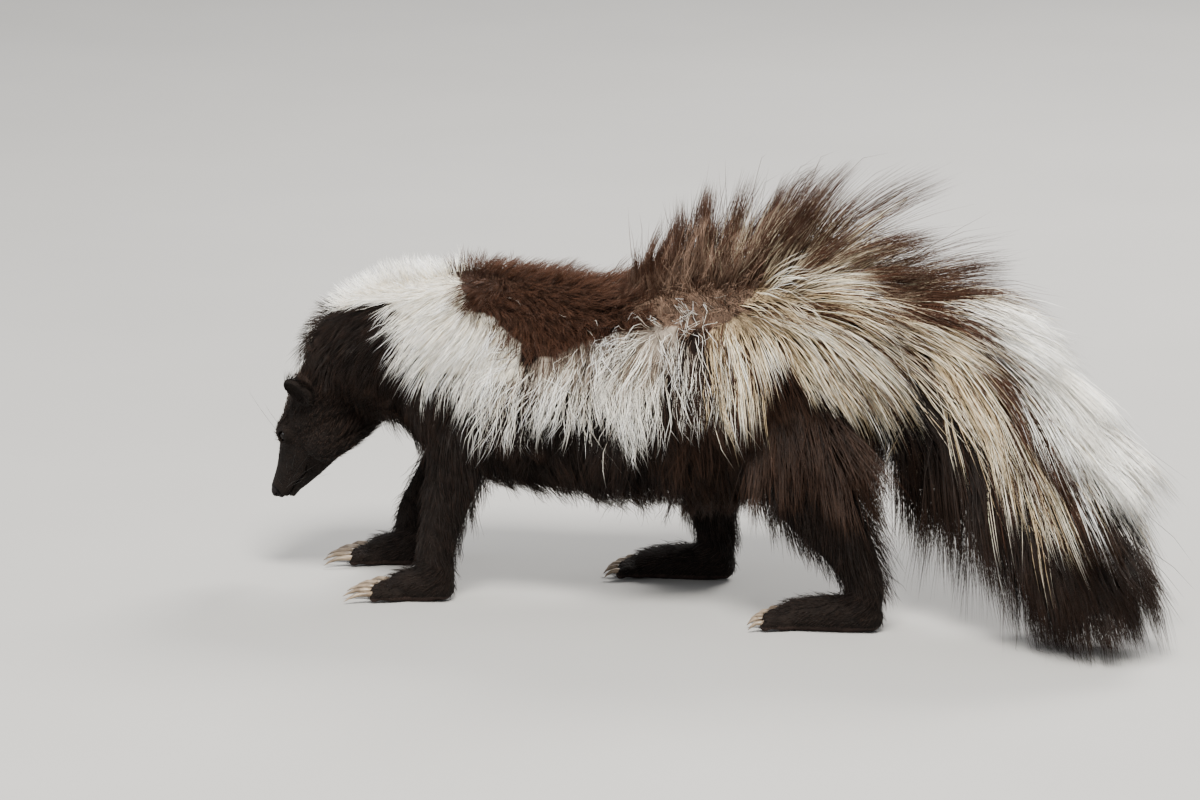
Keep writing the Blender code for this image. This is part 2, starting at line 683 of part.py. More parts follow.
def make_ear(head, side, name, home):
    """A low round ear: a cup that opens forwards and outwards, standing clear of the head by a gap."""
    turn = head_to_world().to_3x3()
    up = (turn @ Vector((EAR_UP[0], side * EAR_UP[1], EAR_UP[2]))).normalized()
    face = turn @ Vector((EAR_FACE[0], side * EAR_FACE[1], EAR_FACE[2]))
    face = (face - up * face.dot(up)).normalized()
    across = up.cross(face)
    behind, out, above = EAR_PLACE
    middle = on_head(behind, side * out, above) + up * EAR_LIFT
    ear = ball(name, middle, (across, up, face), (EAR_WIDTH / 2, EAR_HEIGHT / 2, EAR_DEPTH / 2), home)
    inner = [EAR_WIDTH / 2 - EAR_WALL, EAR_HEIGHT / 2 - EAR_WALL, EAR_DEPTH / 2]
    cup = ball("cup", middle + face * EAR_CUP_SHIFT + up * EAR_WALL / 2, (across, up, face), inner, home)
    boolean(ear, "DIFFERENCE", cup)
    skin = grown(head, GAP, home)
    boolean(ear, "DIFFERENCE", skin)
    for spare in (cup, skin):
        bpy.data.objects.remove(spare)
    return keep_shell(ear)


def finish_head(head, home):
    """Mouth, eyes, nose and ears."""
    plain = copy_of(head, "plain head", home)
    shape_mouth(head, home)
    small = make_eyes(head, home)
    small.append(make_nose(head, home))
    small += [make_ear(plain, -1, "ear_left", home), make_ear(plain, 1, "ear_right", home)]
    bpy.data.objects.remove(plain)
    keep_shell(head)
    return {part.name: part for part in small}


def past_seam(point):
    """How far a point lies on the tail's side of the seam, and the way that leads further in."""
    lean = Vector((1, 0, -SEAM_LEAN)).normalized()
    upright = point.x - SEAM_X
    leaning = (point - Vector((SEAM_X, 0, SEAM_Z))).dot(lean)
    return min((upright, Vector((1, 0, 0))), (leaning, lean), key=lambda pair: pair[0])


def off_seam(point, on_tail):
    """The move that takes a point to its own side of the seam between torso and tail."""
    depth, way = past_seam(point)
    if on_tail and depth < SEAM_CLEAR:
        return way * (SEAM_CLEAR - depth)
    if not on_tail and depth > -SEAM_CLEAR:
        return way * -(SEAM_CLEAR + depth)
    return Vector()


def off_skin(point, whole, own):
    """The move that takes a point out of the body wherever the skin there is another node's."""
    place, normal, _, distance = whole.find_nearest(point)
    inside = (point - place).dot(normal) < 0
    if (inside or distance < LOCK_CLEAR) and own.find_nearest(place)[3] > 2 * GAP:
        return place + normal * LOCK_CLEAR - point
    return Vector()


def off_floor(point):
    return Vector((0, 0, max(0, FLOOR_CLEAR - point.z)))


def bend_clear(lock, whole, own, on_tail):
    """Bends a lock ring by ring clear of the other nodes, the seam and the floor."""
    vertices = list(lock.data.vertices)
    for first in range(0, len(vertices), LOCK_SIDES):
        ring = vertices[first : first + LOCK_SIDES]
        rules = [lambda p: off_seam(p, on_tail)]
        if first:
            rules = [lambda p: off_skin(p, whole, own), off_floor] + rules
        for rule in rules + rules:
            move = max((rule(vertex.co) for vertex in ring), key=lambda m: m.length)
            for vertex in ring:
                vertex.co += move


def lock_path(place, start, end, length, root_way):
    """Points from a sunk root along a curve that turns from its starting way to its ending way."""
    points = [place + root_way * LOCK_ROOT, place]
    for before, after in zip(LOCK_STEPS, LOCK_STEPS[1:]):
        turn = (before + after) / 2
        way = (start * (1 - turn) + end * turn).normalized()
        points.append(points[-1] + way * length * (after - before))
    return points


def add_lock(name, place, normal, start, end, length, size, home):
    """A flat tapered lock whose flat side faces the skin's outward direction."""
    path = lock_path(place, start, end, length, -(start + normal * ROOT_LEAN).normalized())
    across = start.cross(normal)
    if across.length < 0.05:
        across = Vector((0, 1, 0))
    widths = [LOCK_HALF_WIDTH * size * w for w in LOCK_WIDTHS]
    thicks = [LOCK_HALF_THICK * size * t for t in LOCK_THICKS]
    return spike(name, path, widths, thicks, across.normalized(), home, sides=LOCK_SIDES)


def torso_locks(whole, own, others, home, rng):
    """Raised crest, rump, hip and flank, in overlapping rows on both sides, rooted on the torso's skin."""
    locks = []
    for row, (angle, (first, last, count), lengths, start_parts, end_parts) in LOCK_ROWS.items():
        for side in ((-1, 1) if angle else (1,)):
            for k in range(count):
                share = (k + rng.uniform(-LOCK_PLACE, LOCK_PLACE)) / (count - 1)
                x = (first + (last - first) * share) * CM
                turn = math.radians(angle + rng.uniform(-LOCK_TURN, LOCK_TURN)) * side
                start = Vector((x, 0, TORSO_AXIS))
                place, normal = skin_at(whole, start, Vector((0, math.sin(turn), math.cos(turn))))
                if own.find_nearest(place)[3] > 2 * GAP:
                    continue
                if min(tree.find_nearest(place - normal * LOCK_ROOT)[3] for tree in others) < ROOT_CLEAR:
                    continue
                if angle < CREST_ANGLE:
                    normal = Vector((normal.x, normal.y * CREST_SPREAD, normal.z)).normalized()
                splay = Vector((0, side * LOCK_SPLAY, 0))
                down = (Vector((0, 0, -1)) + normal * normal.z + splay).normalized()
                ways = []
                for lift, back, fall in (start_parts, end_parts):
                    stray = Vector([rng.uniform(-LOCK_STRAY, LOCK_STRAY) for _ in range(3)])
                    ways.append((normal * lift + Vector((back, 0, 0)) + down * fall + stray).normalized())
                rise = min(1, LENGTH_RISE * max(share, 0))
                length = (lengths[0] + (lengths[1] - lengths[0]) * rise) * CM * rng.uniform(*LOCK_LENGTHS)
                size = rng.uniform(*TORSO_LOCK_SIZES)
                locks.append(add_lock(row, place, normal, *ways, length, size, home))
    return locks


def tail_locks(home, rng):
    """Tiers of locks round the tail, flowing towards its end and drooping."""
    rings = tail_rings()
    centres = [Vector(ring[:3]) for ring in rings]
    locks = []
    first = next(i for i, c in enumerate(centres) if c.x > SEAM_X + 0.3 * CM)
    for tier in range(TAIL_TIERS):
        share = tier / (TAIL_TIERS - 1)
        spot = first + share * (len(centres) - 2 - first)
        i = int(spot)
        centre = centres[i].lerp(centres[i + 1], spot - i)
        radius = rings[i, 3]
        way = (centres[i + 1] - centres[i]).normalized()
        side = (Vector((0, 1, 0)) - way * way.y).normalized()
        up = side.cross(way) * -1
        length = np.interp(share, np.linspace(0, 1, len(TAIL_LENGTHS)), TAIL_LENGTHS) * CM
        for k in range(TAIL_AROUND):
            turn = 2 * math.pi * (k + tier % 2 / 2 + rng.uniform(-TIER_TURN, TIER_TURN)) / TAIL_AROUND
            out = side * math.cos(turn) + up * math.sin(turn)
            under = max(0, -out.z)
            droop = Vector((0, 0, -TAIL_DROOP - UNDER_DROOP * under))
            stray = Vector([rng.uniform(-LOCK_STRAY, LOCK_STRAY) for _ in range(3)])
            start = (way * TAIL_START[0] + out * TAIL_START[1] + stray).normalized()
            end = (way * TAIL_END[0] + out * TAIL_END[1] + droop + stray).normalized()
            own_length = length * (1 + UNDER_GROWTH * under) * rng.uniform(*LOCK_LENGTHS)
            size = rng.uniform(*TAIL_LOCK_SIZES)
            locks.append(add_lock("tail lock", centre + out * radius, out, start, end, own_length, size, home))
    return locks


def fuse_locks(node, locks, group):
    """Joins a node and its locks in one union, and leaves one closed surface."""
    boolean(node, "UNION", group)
    for lock in locks:
        bpy.data.objects.remove(lock)
    return keep_shell(node)


def add_coat(parts, whole):
    rng = random.Random(SEED)
    legs = [surface_tree(part) for name, part in parts.items() if name.startswith("leg_")]
    for name in ("torso", "tail"):
        node, own = parts[name], surface_tree(parts[name])
        group = collection(name + " locks")
        on_tail = name == "tail"
        locks = tail_locks(group, rng) if on_tail else torso_locks(whole, own, legs, group, rng)
        for lock in locks:
            bend_clear(lock, whole, own, on_tail)
        before = len(node.data.polygons)
        fuse_locks(node, locks, group)
        print(name, "locks", len(locks), "triangles", before, "to", len(node.data.polygons))
        bpy.data.collections.remove(group)


def give_material(obj, colour, roughness):
    material = bpy.data.materials.new(obj.name)
    material.use_nodes = True
    shader = material.node_tree.nodes["Principled BSDF"]
    shader.inputs["Base Color"].default_value = (*colour, 1)
    shader.inputs["Roughness"].default_value = roughness
    shader.inputs["Metallic"].default_value = 0
    obj.data.materials.clear()
    obj.data.materials.append(material)


def set_on_origin(parts):
    """Moves every part so that the model's box stands on z = 0 with the origin below its middle."""
    corners = np.array([v.co for part in parts for v in part.data.vertices])
    low, high = corners.min(axis=0), corners.max(axis=0)
    shift = Vector((-(low[0] + high[0]) / 2, -(low[1] + high[1]) / 2, -low[2]))
    for part in parts:
        part.data.transform(Matrix.Translation(shift))
    print("shift", tuple(round(value, 6) for value in shift))


def main():
    clear_scene()
    home = collection("skunk")
    cutters = collection("cutters", hidden=True)
    body = blended_body(home)
    whole = surface_tree(body)
    parts = separate_parts(body, home, cutters)
    paws = [part for name, part in parts.items() if name.startswith("paw_")]
    for paw in paws:
        add_toes(paw, home)
    flatten_soles(paws, cutters)
    parts.update(finish_head(parts["head"], home))
    add_coat(parts, whole)
    for name, part in parts.items():
        give_material(part, *COLOURS[name.split("_")[0]])
    set_on_origin(parts.values())
    bpy.data.collections.remove(cutters)


main()
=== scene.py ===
"""Looks of the striped skunk: one skin over the flesh, a coat of solid tufts in overlapping locks, eyes,
nose, claws and whiskers. Sizes are in centimetres in the sculptor's frame, where the ground is z = 0 and the
skunk faces -X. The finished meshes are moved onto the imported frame."""

import math

import bmesh
import bpy
import numpy as np
from mathutils import Matrix, Vector
from mathutils.bvhtree import BVHTree
from mathutils.kdtree import KDTree


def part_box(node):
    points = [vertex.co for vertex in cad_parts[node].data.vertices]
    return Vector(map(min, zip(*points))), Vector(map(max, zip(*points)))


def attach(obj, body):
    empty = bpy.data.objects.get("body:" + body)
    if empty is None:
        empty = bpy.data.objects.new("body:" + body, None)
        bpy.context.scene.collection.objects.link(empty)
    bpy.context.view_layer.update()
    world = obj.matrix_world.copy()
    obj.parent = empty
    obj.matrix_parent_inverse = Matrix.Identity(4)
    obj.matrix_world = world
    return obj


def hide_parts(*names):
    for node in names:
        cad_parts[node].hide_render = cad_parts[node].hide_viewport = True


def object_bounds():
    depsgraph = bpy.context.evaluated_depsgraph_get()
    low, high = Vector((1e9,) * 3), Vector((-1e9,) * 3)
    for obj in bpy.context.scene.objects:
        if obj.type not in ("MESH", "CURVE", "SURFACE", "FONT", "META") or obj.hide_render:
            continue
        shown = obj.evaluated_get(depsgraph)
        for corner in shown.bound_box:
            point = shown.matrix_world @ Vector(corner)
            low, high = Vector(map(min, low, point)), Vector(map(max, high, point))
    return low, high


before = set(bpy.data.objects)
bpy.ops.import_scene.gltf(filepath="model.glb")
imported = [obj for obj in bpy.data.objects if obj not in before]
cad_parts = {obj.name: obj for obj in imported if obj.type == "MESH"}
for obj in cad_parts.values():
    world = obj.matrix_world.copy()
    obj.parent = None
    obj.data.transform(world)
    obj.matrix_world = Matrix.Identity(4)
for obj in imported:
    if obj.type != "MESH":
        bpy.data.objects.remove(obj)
start_low, start_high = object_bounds()

CM = 0.01
SEED = 5
DENSITY = 1.0  # share of the hairs that grow

# Head, as if level with its nose tip at the origin: distance behind the nose, top, bottom, half width
NOSE_TIP = np.array([-20.9, 0, 4.7])
HEAD_PITCH = math.radians(57)
SKULL = [
    (0.5, 0.68, -0.72, 0.72), (1.7, 1.02, -1.18, 1.06), (3.0, 1.55, -1.58, 1.55), (4.3, 2.18, -1.92, 2.18),
    (5.6, 2.58, -2.25, 2.70), (7.2, 2.80, -2.50, 2.98), (8.8, 2.70, -2.60, 2.85), (10.4, 2.20, -2.50, 2.50),
]
# Neck: x and z of its axis, half height above and below, half width
NECK = [(-8.6, 13.4, 3.9, 4.2, 3.8), (-11.4, 14.1, 4.0, 4.9, 4.0), (-13.9, 13.8, 3.8, 4.7, 3.8),
        (-15.7, 12.6, 3.5, 3.8, 3.4), (-16.9, 11.0, 2.5, 2.6, 2.6)]
# Torso: x, height of the back, height of the belly, half width
TORSO = [(-12.9, 15.3, 9.5, 2.4), (-11.2, 18.0, 7.9, 4.1), (-8.4, 18.9, 7.0, 4.9), (-4.2, 18.6, 6.5, 5.4),
         (0.2, 17.9, 6.4, 5.4), (4.4, 18.6, 6.9, 5.7), (8.6, 19.6, 8.2, 5.9), (12.0, 19.6, 10.3, 5.0),
         (14.8, 18.2, 13.0, 3.3), (16.6, 17.0, 14.2, 1.8)]
# Tail: x, y and z of its axis, and its radius
TAIL = [(12.6, 0.0, 16.0, 1.4), (16.0, -0.3, 16.4, 1.6), (19.4, -1.1, 16.0, 1.9), (22.6, -2.4, 13.8, 2.0),
        (25.4, -3.8, 10.4, 1.8), (27.6, -5.2, 6.9, 1.3), (28.8, -6.0, 4.6, 0.6)]
# Legs from the top down: distance from the middle plane, z, half depth fore and aft, half width
LEG_ROWS = {
    "fore": [(2.9, 12.8, 2.9, 1.7), (3.8, 9.2, 1.9, 1.5), (4.1, 6.0, 1.35, 1.15), (4.2, 3.2, 1.10, 1.00),
             (4.2, 1.2, 1.15, 1.05)],
    "hind": [(3.2, 12.2, 3.6, 2.0), (4.4, 10.6, 3.2, 1.9), (5.0, 7.6, 2.4, 1.6), (5.1, 4.8, 1.5, 1.2),
             (5.1, 2.8, 1.15, 1.05), (5.1, 1.2, 1.15, 1.05)],
}
# The stride: x of each of those rows
LEGS = {"fore_left": (-9.6, -8.6, -9.2, -9.9, -10.0), "fore_right": (-10.4, -10.4, -12.0, -13.6, -13.8),
        "hind_left": (10.6, 11.4, 12.9, 14.8, 15.7, 15.6), "hind_right": (8.8, 6.8, 4.4, 4.1, 4.5, 4.4)}
# Feet: distance ahead of the ankle, z, half height, half width
FEET = {
    "fore": [(-0.5, 0.82, 0.78, 0.88), (0.2, 0.90, 1.05, 1.05), (1.6, 0.75, 1.00, 1.25),
             (2.5, 0.55, 0.75, 1.20)],
    "hind": [(-0.6, 0.84, 0.80, 0.88), (0.6, 0.95, 1.10, 1.10), (2.4, 0.85, 1.05, 1.30),
             (3.8, 0.70, 0.90, 1.40), (4.5, 0.55, 0.75, 1.30)],
}
HEEL_DEPTH = 0.65
TOES, TOE_SPREAD = 5, math.radians(14)
TOE_LENGTH, TOE_RADIUS, TOE_HEIGHT = 1.3, 0.37, 0.40
CLAW_LENGTH, CLAW_RADIUS = {"fore": 1.9, "hind": 1.1}, 0.17
PAD_SIZE, SOLE = (0.30, 0.27, 0.24), 0.02  # the sole's height above the ground

# Head: forms on each side, or in the middle where out is 0. Place behind the nose tip, out and above it, and
# half sizes
SKULL_FORMS = {"cheek": ((5.8, 1.9, -0.9), (1.9, 1.0, 1.3)), "brow": ((4.5, 1.25, 1.62), (1.1, 0.7, 0.5)),
               "whisker pad": ((1.2, 0.52, -0.30), (0.85, 0.42, 0.42))}
NOSE_FORMS = {"pad": ((0.34, 0, 0.14), (0.46, 0.50, 0.40)), "bridge": ((0.64, 0, 0.34), (0.52, 0.42, 0.34)),
              "lip": ((0.24, 0, -0.16), (0.26, 0.20, 0.24))}
NOSE_WING = ((0.30, 0.34, 0.10), (0.34, 0.24, 0.30))
NOSE_CUTS = {"nostril": ((-0.06, 0.26, 0.10), (0.24, 0.13, 0.12)),
             "slit": ((0.10, 0.52, 0.02), (0.22, 0.20, 0.045))}
NOSE_GROOVE = ((-0.10, 0, -0.16), (0.14, 0.035, 0.34))
NOSE_HOLE = ((0.34, 0, 0.12), (0.47, 0.56, 0.43))
NOSE_MIDDLE = (0.32, 0, 0.12)  # of the solid's nose
LIP_HEIGHTS, MOUTH_HEIGHT, LIP_RADIUS, MOUTH_RADIUS = (-0.47, -0.78), -0.62, 0.15, 0.05
EYE_RADIUS, SOCKET_GAP = 0.42, 0.012
ORBIT, EYE_OPENING = (0.62, 0.58, 0.56), (0.37, 0.28, 0.6)  # half sizes along, over and out
LID_OUT, LID_LONG, LID_HIGH, LID_RADIUS = 0.38, 0.41, 0.33, 0.09
EAR_PLACE, EAR_SIZE, EAR_WALL, EAR_FOLD = (7.0, 3.0, 1.45), (1.0, 1.1, 0.475), 0.17, (0.16, 0.42, 0.14)
EAR_UP, EAR_FACE, EAR_RISE = (0.35, 0.50, 0.80), (-0.75, 0.65, 0.0), 0.42
BODY_VOXEL, FINE_VOXEL, NOSE_VOXEL = 0.26, 0.10, 0.035

AXIS_HEIGHT = 13.6  # the angle from the top of the back is measured round this height

# The torso's and neck's groom. Each row: x, angle from the top, length, then in hundredths the outward,
# backward and downward parts of the way a hair starts and of the way it ends
GROOM = np.array([
    (-16, 0, 1.4, 92, -30, 10, 85, -40, 15), (-15, 50, 1.7, 50, -30, 60, 20, -40, 80),
    (-15, 100, 2.2, 35, 0, 80, 5, 10, 95), (-14, 150, 2.8, 50, 20, 75, 25, 35, 90),
    (-12, 0, 1.7, 85, 0, 10, 80, -15, 10), (-12, 35, 2.4, 50, -25, 60, 15, -50, 75),
    (-11, 70, 3, 35, -40, 80, -5, -55, 80), (-11, 100, 2.6, 30, -10, 90, 0, -10, 95),
    (-9, 95, 3.2, 28, -25, 90, -10, -30, 95), (-8, 65, 3.2, 38, -35, 75, 0, -50, 85),
    (-8.4, 30, 2.4, 50, -15, 60, 20, -40, 75), (-11, 130, 2.6, 40, 15, 90, 10, 25, 95),
    (-7, 0, 1.3, 70, 50, 5, 45, 80, 10), (-5.5, 35, 1.4, 60, 35, 35, 30, 50, 55),
    (-3, 0, 1.5, 75, 50, 0, 55, 75, 0), (-3, 35, 1.6, 60, 40, 35, 30, 50, 60),
    (-3, 58, 1.9, 60, 30, 45, 25, 30, 70), (-5, 80, 4.2, 34, -28, 82, -8, -46, 90),
    (-1.5, 82, 4.8, 32, -12, 84, -12, -26, 94), (0, 0, 2.8, 88, 42, 0, 66, 75, 0),
    (0, 30, 3, 74, 46, 12, 46, 75, 25), (0, 54, 2.4, 70, 20, 30, 35, 5, 70),
    (1.5, 75, 5.4, 36, 4, 80, -12, -6, 96), (1, 95, 4.6, 28, 0, 90, -20, -10, 97),
    (-3, 100, 4, 28, -10, 90, -14, -15, 97), (3.5, 0, 5.6, 95, 30, 0, 86, 50, 0),
    (3.5, 18, 5, 93, 32, 2, 78, 56, 6), (3.5, 40, 2.2, 80, 10, 20, 50, 0, 50),
    (5, 70, 5.2, 38, 12, 76, -28, 4, 97), (5, 95, 5, 26, 6, 90, -26, 0, 97),
    (8, 0, 8.6, 94, 34, 0, 80, 60, 0), (8, 18, 6.8, 88, 44, 2, 66, 70, 5),
    (6.8, 38, 2.6, 78, 10, 30, 45, 10, 55), (9.5, 40, 6.2, 56, 52, 36, 0, 60, 62),
    (9, 60, 5.4, 36, 30, 66, -30, 26, 90), (9, 80, 5.2, 30, 22, 82, -34, 16, 96),
    (12.5, 0, 9.6, 92, 40, 0, 66, 75, 0), (12.5, 30, 7.4, 62, 72, 14, 12, 90, 36),
    (13, 55, 7.4, 38, 60, 46, -28, 52, 80), (13, 80, 6.6, 30, 42, 68, -32, 30, 90),
    (15.5, 15, 8.2, 64, 76, 0, 22, 94, 20), (15.5, 65, 8.4, 36, 66, 42, -6, 46, 86),
    (-10, 160, 2.4, 45, 30, 60, 20, 60, 50), (-5, 120, 3.2, 30, 10, 95, 10, 15, 98),
    (0, 118, 3.6, 28, 5, 95, 5, 10, 99), (5, 112, 4, 26, 10, 95, -5, 10, 98),
    (10, 105, 4.6, 26, 25, 88, -12, 18, 96), (15, 105, 7.6, 40, 50, 72, 5, 34, 92),
    (-6, 165, 2.2, 40, 45, 60, 25, 70, 50), (0, 165, 2.4, 40, 40, 60, 25, 60, 60),
    (8, 160, 2.8, 38, 40, 65, 20, 55, 70),
])
GROOM[:, 3:] /= 100
GROOM_REACH = (2.4, 14.0)  # how far a row's influence goes along x, in cm, and round the body, in degrees
TAIL_LENGTHS = (7.6, 8.8, 9.2, 8.2, 6.6)  # of its hair, from root to end
LEG_HEIGHTS, LEG_LENGTHS = (2.5, 5, 9, 12), {"fore": (0.8, 1.4, 2.2, 2.8), "hind": (1.0, 2.1, 3.6, 4.2)}

# The markings' edges: the shoulder's white band by degrees from the top, and the stripe by x, with its middle
# and half width in degrees
BAND_FRONT = ((0, 24, 36, 60, 90), (-17.2, -16.6, -12.6, -12.0, -10.6))
BAND_REAR = ((0, 37, 60, 80, 100), (-10.6, -8.2, -5.6, -4.2, -2.8))
STRIPE_X = (-8, -4.6, -2.2, 0, 2.4, 6, 9, 12.5, 16)
STRIPE_MIDDLE, STRIPE_HALF = (92, 91, 84, 78, 70, 62, 42, 43, 47), (8, 12, 15, 17, 21, 21, 23, 26, 33)
FUZZ_MIDDLE, FUZZ_HALF = ((-1, 2, 5, 8.5), (38, 37, 34, 36)), ((-1, 2, 5, 7, 8.5), (8, 16, 19, 16, 10))
BLAZE = ((2.0, 3.4, 6.0, 9.0), (0.0, 0.14, 0.24, 0.5))  # distance behind the nose tip, and half width

# Colours of the coat, as linear red, green and blue
BLACK, BROWN, RUST = (0.0085, 0.0055, 0.0042), (0.028, 0.0140, 0.0085), (0.056, 0.0250, 0.0145)
UNDERFUR, MAUVE = (0.16, 0.102, 0.072), (0.24, 0.160, 0.115)
TAN, CREAM = (0.56, 0.43, 0.26), (0.80, 0.69, 0.49)
GREY, WHITE, SNOW = (0.48, 0.43, 0.36), (0.86, 0.82, 0.73), (0.94, 0.92, 0.86)
SOLE_SKIN, WHISKER = (0.028, 0.018, 0.015), (0.010, 0.008, 0.007)

# Light: place and aim in metres, size, power and colour
LIGHTS = {
    "key": ((0.5, -1.7, 2.6), (0, 0, 0.12), 0.9, 270, (1.0, 0.965, 0.90)),
    "rim": ((0.6, 1.9, 1.9), (0, 0, 0.15), 1.0, 110, (1.0, 0.97, 0.93)),
    "fill": ((-2.4, -1.6, 1.1), (0, 0, 0.1), 1.8, 50, (0.98, 0.985, 1.0)),
}
SKY, SKY_POWER, FLOOR_SIZE = (0.95, 0.97, 1.0, 1), 0.75, 30
# The point of view: how far round towards the tail and down, the distance in metres, the aim in cm, the lens
AZIMUTH, ELEVATION, DISTANCE, AIM, LENS = math.radians(15), math.radians(12), 3.87, (-1.2, 0, 11.5), 200

# Which part of the animal a place is on
ON_TORSO, ON_HEAD, ON_TAIL, ON_LEG, ON_PAW = range(5)

rng = np.random.default_rng(SEED)


def between(stations, count=4):
    """Catmull-Rom values through the stations, with count steps from each to the next."""
    points = np.array(stations, float)
    padded = np.vstack([2 * points[0] - points[1], points, 2 * points[-1] - points[-2]])
    rows = []
    for i in range(len(points) - 1):
        a, b, c, d = padded[i : i + 4]
        for t in np.arange(count) / count:
            rows.append(0.5 * (2 * b + (c - a) * t + (2 * a - 5 * b + 4 * c - d) * t**2
                               + (3 * b - a - 3 * c + d) * t**3))
    rows.append(points[-1])
    return np.array(rows)


def unit(v):
    return v / np.maximum(np.linalg.norm(v, axis=-1, keepdims=True), 1e-9)


def ease(low, high, value):
    share = np.clip((value - low) / (high - low), 0, 1)
    return share * share * (3 - 2 * share)


UP = np.array([0, 0, 1.0])
HEAD_TURN = np.array([[math.cos(HEAD_PITCH), 0, -math.sin(HEAD_PITCH)], [0, 1, 0],
                      [math.sin(HEAD_PITCH), 0, math.cos(HEAD_PITCH)]])


def on_head(behind, out, above):
    return NOSE_TIP + HEAD_TURN @ np.array([behind, out, above], float)


def head_ball(name, form, side=1, segments=24, rings=16):
    (behind, out, above), sizes = form
    return ball(name, on_head(behind, side * out, above), HEAD_TURN.T, sizes, segments, rings)


def link(name, mesh):
    obj = bpy.data.objects.new(name, mesh)
    bpy.context.scene.collection.objects.link(obj)
    return obj


def to_object(name, bm):
    mesh = bpy.data.meshes.new(name)
    bm.to_mesh(mesh)
    bm.free()
    return link(name, mesh)


def closed_object(name, bm):
    bmesh.ops.recalc_face_normals(bm, faces=bm.faces)
    return to_object(name, bm)


def angles(count):
    return 2 * math.pi * np.arange(count) / count


def circle(point, side, top, radius, sides, flat=1.0):
    return [point + (side * math.cos(a) * flat + top * math.sin(a)) * radius for a in angles(sides)]


def loft(name, loops, closed=False):
    """A skin over loops of as many points each, capped at its ends or closed round."""
    bm = bmesh.new()
    loops = [[bm.verts.new(point) for point in loop] for loop in loops]
    sides = len(loops[0])
    for a, b in zip(loops, loops[1:] + loops[:1] if closed else loops[1:]):
        for k in range(sides):
            j = (k + 1) % sides
            bm.faces.new((a[k], a[j], b[j], b[k]))
    if not closed:
        bm.faces.new(loops[0])
        bm.faces.new(loops[-1])
        bmesh.ops.triangulate(bm, faces=bm.faces)
    return closed_object(name, bm)


def tube(name, rings, sides=24, side_way=(0, 1, 0)):
    """A closed loft. Each ring is a centre and half sizes above, below and beside its axis."""
    loops, ways = [], unit(np.gradient(rings[:, :3], axis=0))
    for centre, way, (above, below, width) in zip(rings[:, :3], ways, rings[:, 3:6]):
        side = unit(np.array(side_way) - way * np.dot(way, side_way))
        up = np.cross(side, way)
        loops.append([centre + (side * width * math.cos(a)
                                + up * math.sin(a) * (above if math.sin(a) > 0 else below))
                      for a in angles(sides)])
    return loft(name, loops)


def round_tube(name, path, radii, sides=12):
    """A round closed form along a path."""
    path, radii = np.array(path, float), np.array(radii, float)
    rings = np.column_stack([path, radii, radii, radii])
    way = unit(path[-1] - path[0])
    side = (0, 1, 0) if abs(way[1]) < 0.8 else (1, 0, 0)
    return tube(name, rings, sides, side)


def ball(name, centre, axes, sizes, segments=24, rings=16):
    bm = bmesh.new()
    bmesh.ops.create_uvsphere(bm, u_segments=segments, v_segments=rings, radius=1)
    turn = np.array(axes, float).T * np.array(sizes, float)
    for vertex in bm.verts:
        vertex.co = Vector(np.array(centre) + turn @ np.array(vertex.co))
    return closed_object(name, bm)


def apply(obj):
    graph = bpy.context.evaluated_depsgraph_get()
    made = bpy.data.meshes.new_from_object(obj.evaluated_get(graph))
    obj.modifiers.clear()
    obj.data = made
    return obj


def boolean(obj, operation, other):
    modifier = obj.modifiers.new(operation, "BOOLEAN")
    modifier.operation = operation
    modifier.solver = "MANIFOLD"
    modifier.object = other
    apply(obj)
    bpy.data.objects.remove(other)
    return obj


def join(name, pieces):
    bm = bmesh.new()
    for piece in pieces:
        bm.from_mesh(piece.data)
        bpy.data.objects.remove(piece)
    return to_object(name, bm)


def cut(obj, other):
    return boolean(obj, "DIFFERENCE", other)


def melt(obj, voxel, steps):
    """Runs a piece's forms into one smooth surface."""
    remesh = obj.modifiers.new("melt", "REMESH")
    remesh.mode = "VOXEL"
    remesh.voxel_size = voxel
    remesh.use_smooth_shade = True
    soften = obj.modifiers.new("soften", "SMOOTH")
    soften.factor = 0.5
    soften.iterations = steps
    return apply(obj)


def leg_side(name):
    return -1 if name.endswith("left") else 1


def leg_rings(name):
    rows = zip(LEGS[name], LEG_ROWS[name[:4]])
    return between([(x, leg_side(name) * y, z, depth, depth, width) for x, (y, z, depth, width) in rows])


def ankle(name):
    return np.array([LEGS[name][-1], leg_side(name) * LEG_ROWS[name[:4]][-1][0], 0.0])


def toe_frames(name):
    """Root and way of each toe."""
    before, last = FEET[name[:4]][-2][0], FEET[name[:4]][-1][0]
    front = ankle(name) - np.array([before, 0, 0])
    reach = last - before
    for k in range(TOES):
        step = k - (TOES - 1) / 2
        turn = step * TOE_SPREAD
        way = np.array([-math.cos(turn), math.sin(turn), 0])
        root = front + np.array([-reach * math.cos(turn * 1.6), step * TOE_RADIUS * 1.65, TOE_HEIGHT])
        yield root, way


def body_skin():
    torso = between([(x, 0, (t + b) / 2, (t - b) / 2, (t - b) / 2, w) for x, t, b, w in TORSO])
    neck = between([(x, 0, z, a, b, w) for x, z, a, b, w in NECK])
    tail = between([(x, y, z, r, r, r) for x, y, z, r in TAIL])
    pieces = [tube("torso", torso), tube("neck", neck), tube("tail", tail)]
    pieces += [tube("leg", leg_rings(name)) for name in LEGS]
    return melt(join("skin", pieces), BODY_VOXEL, 8)


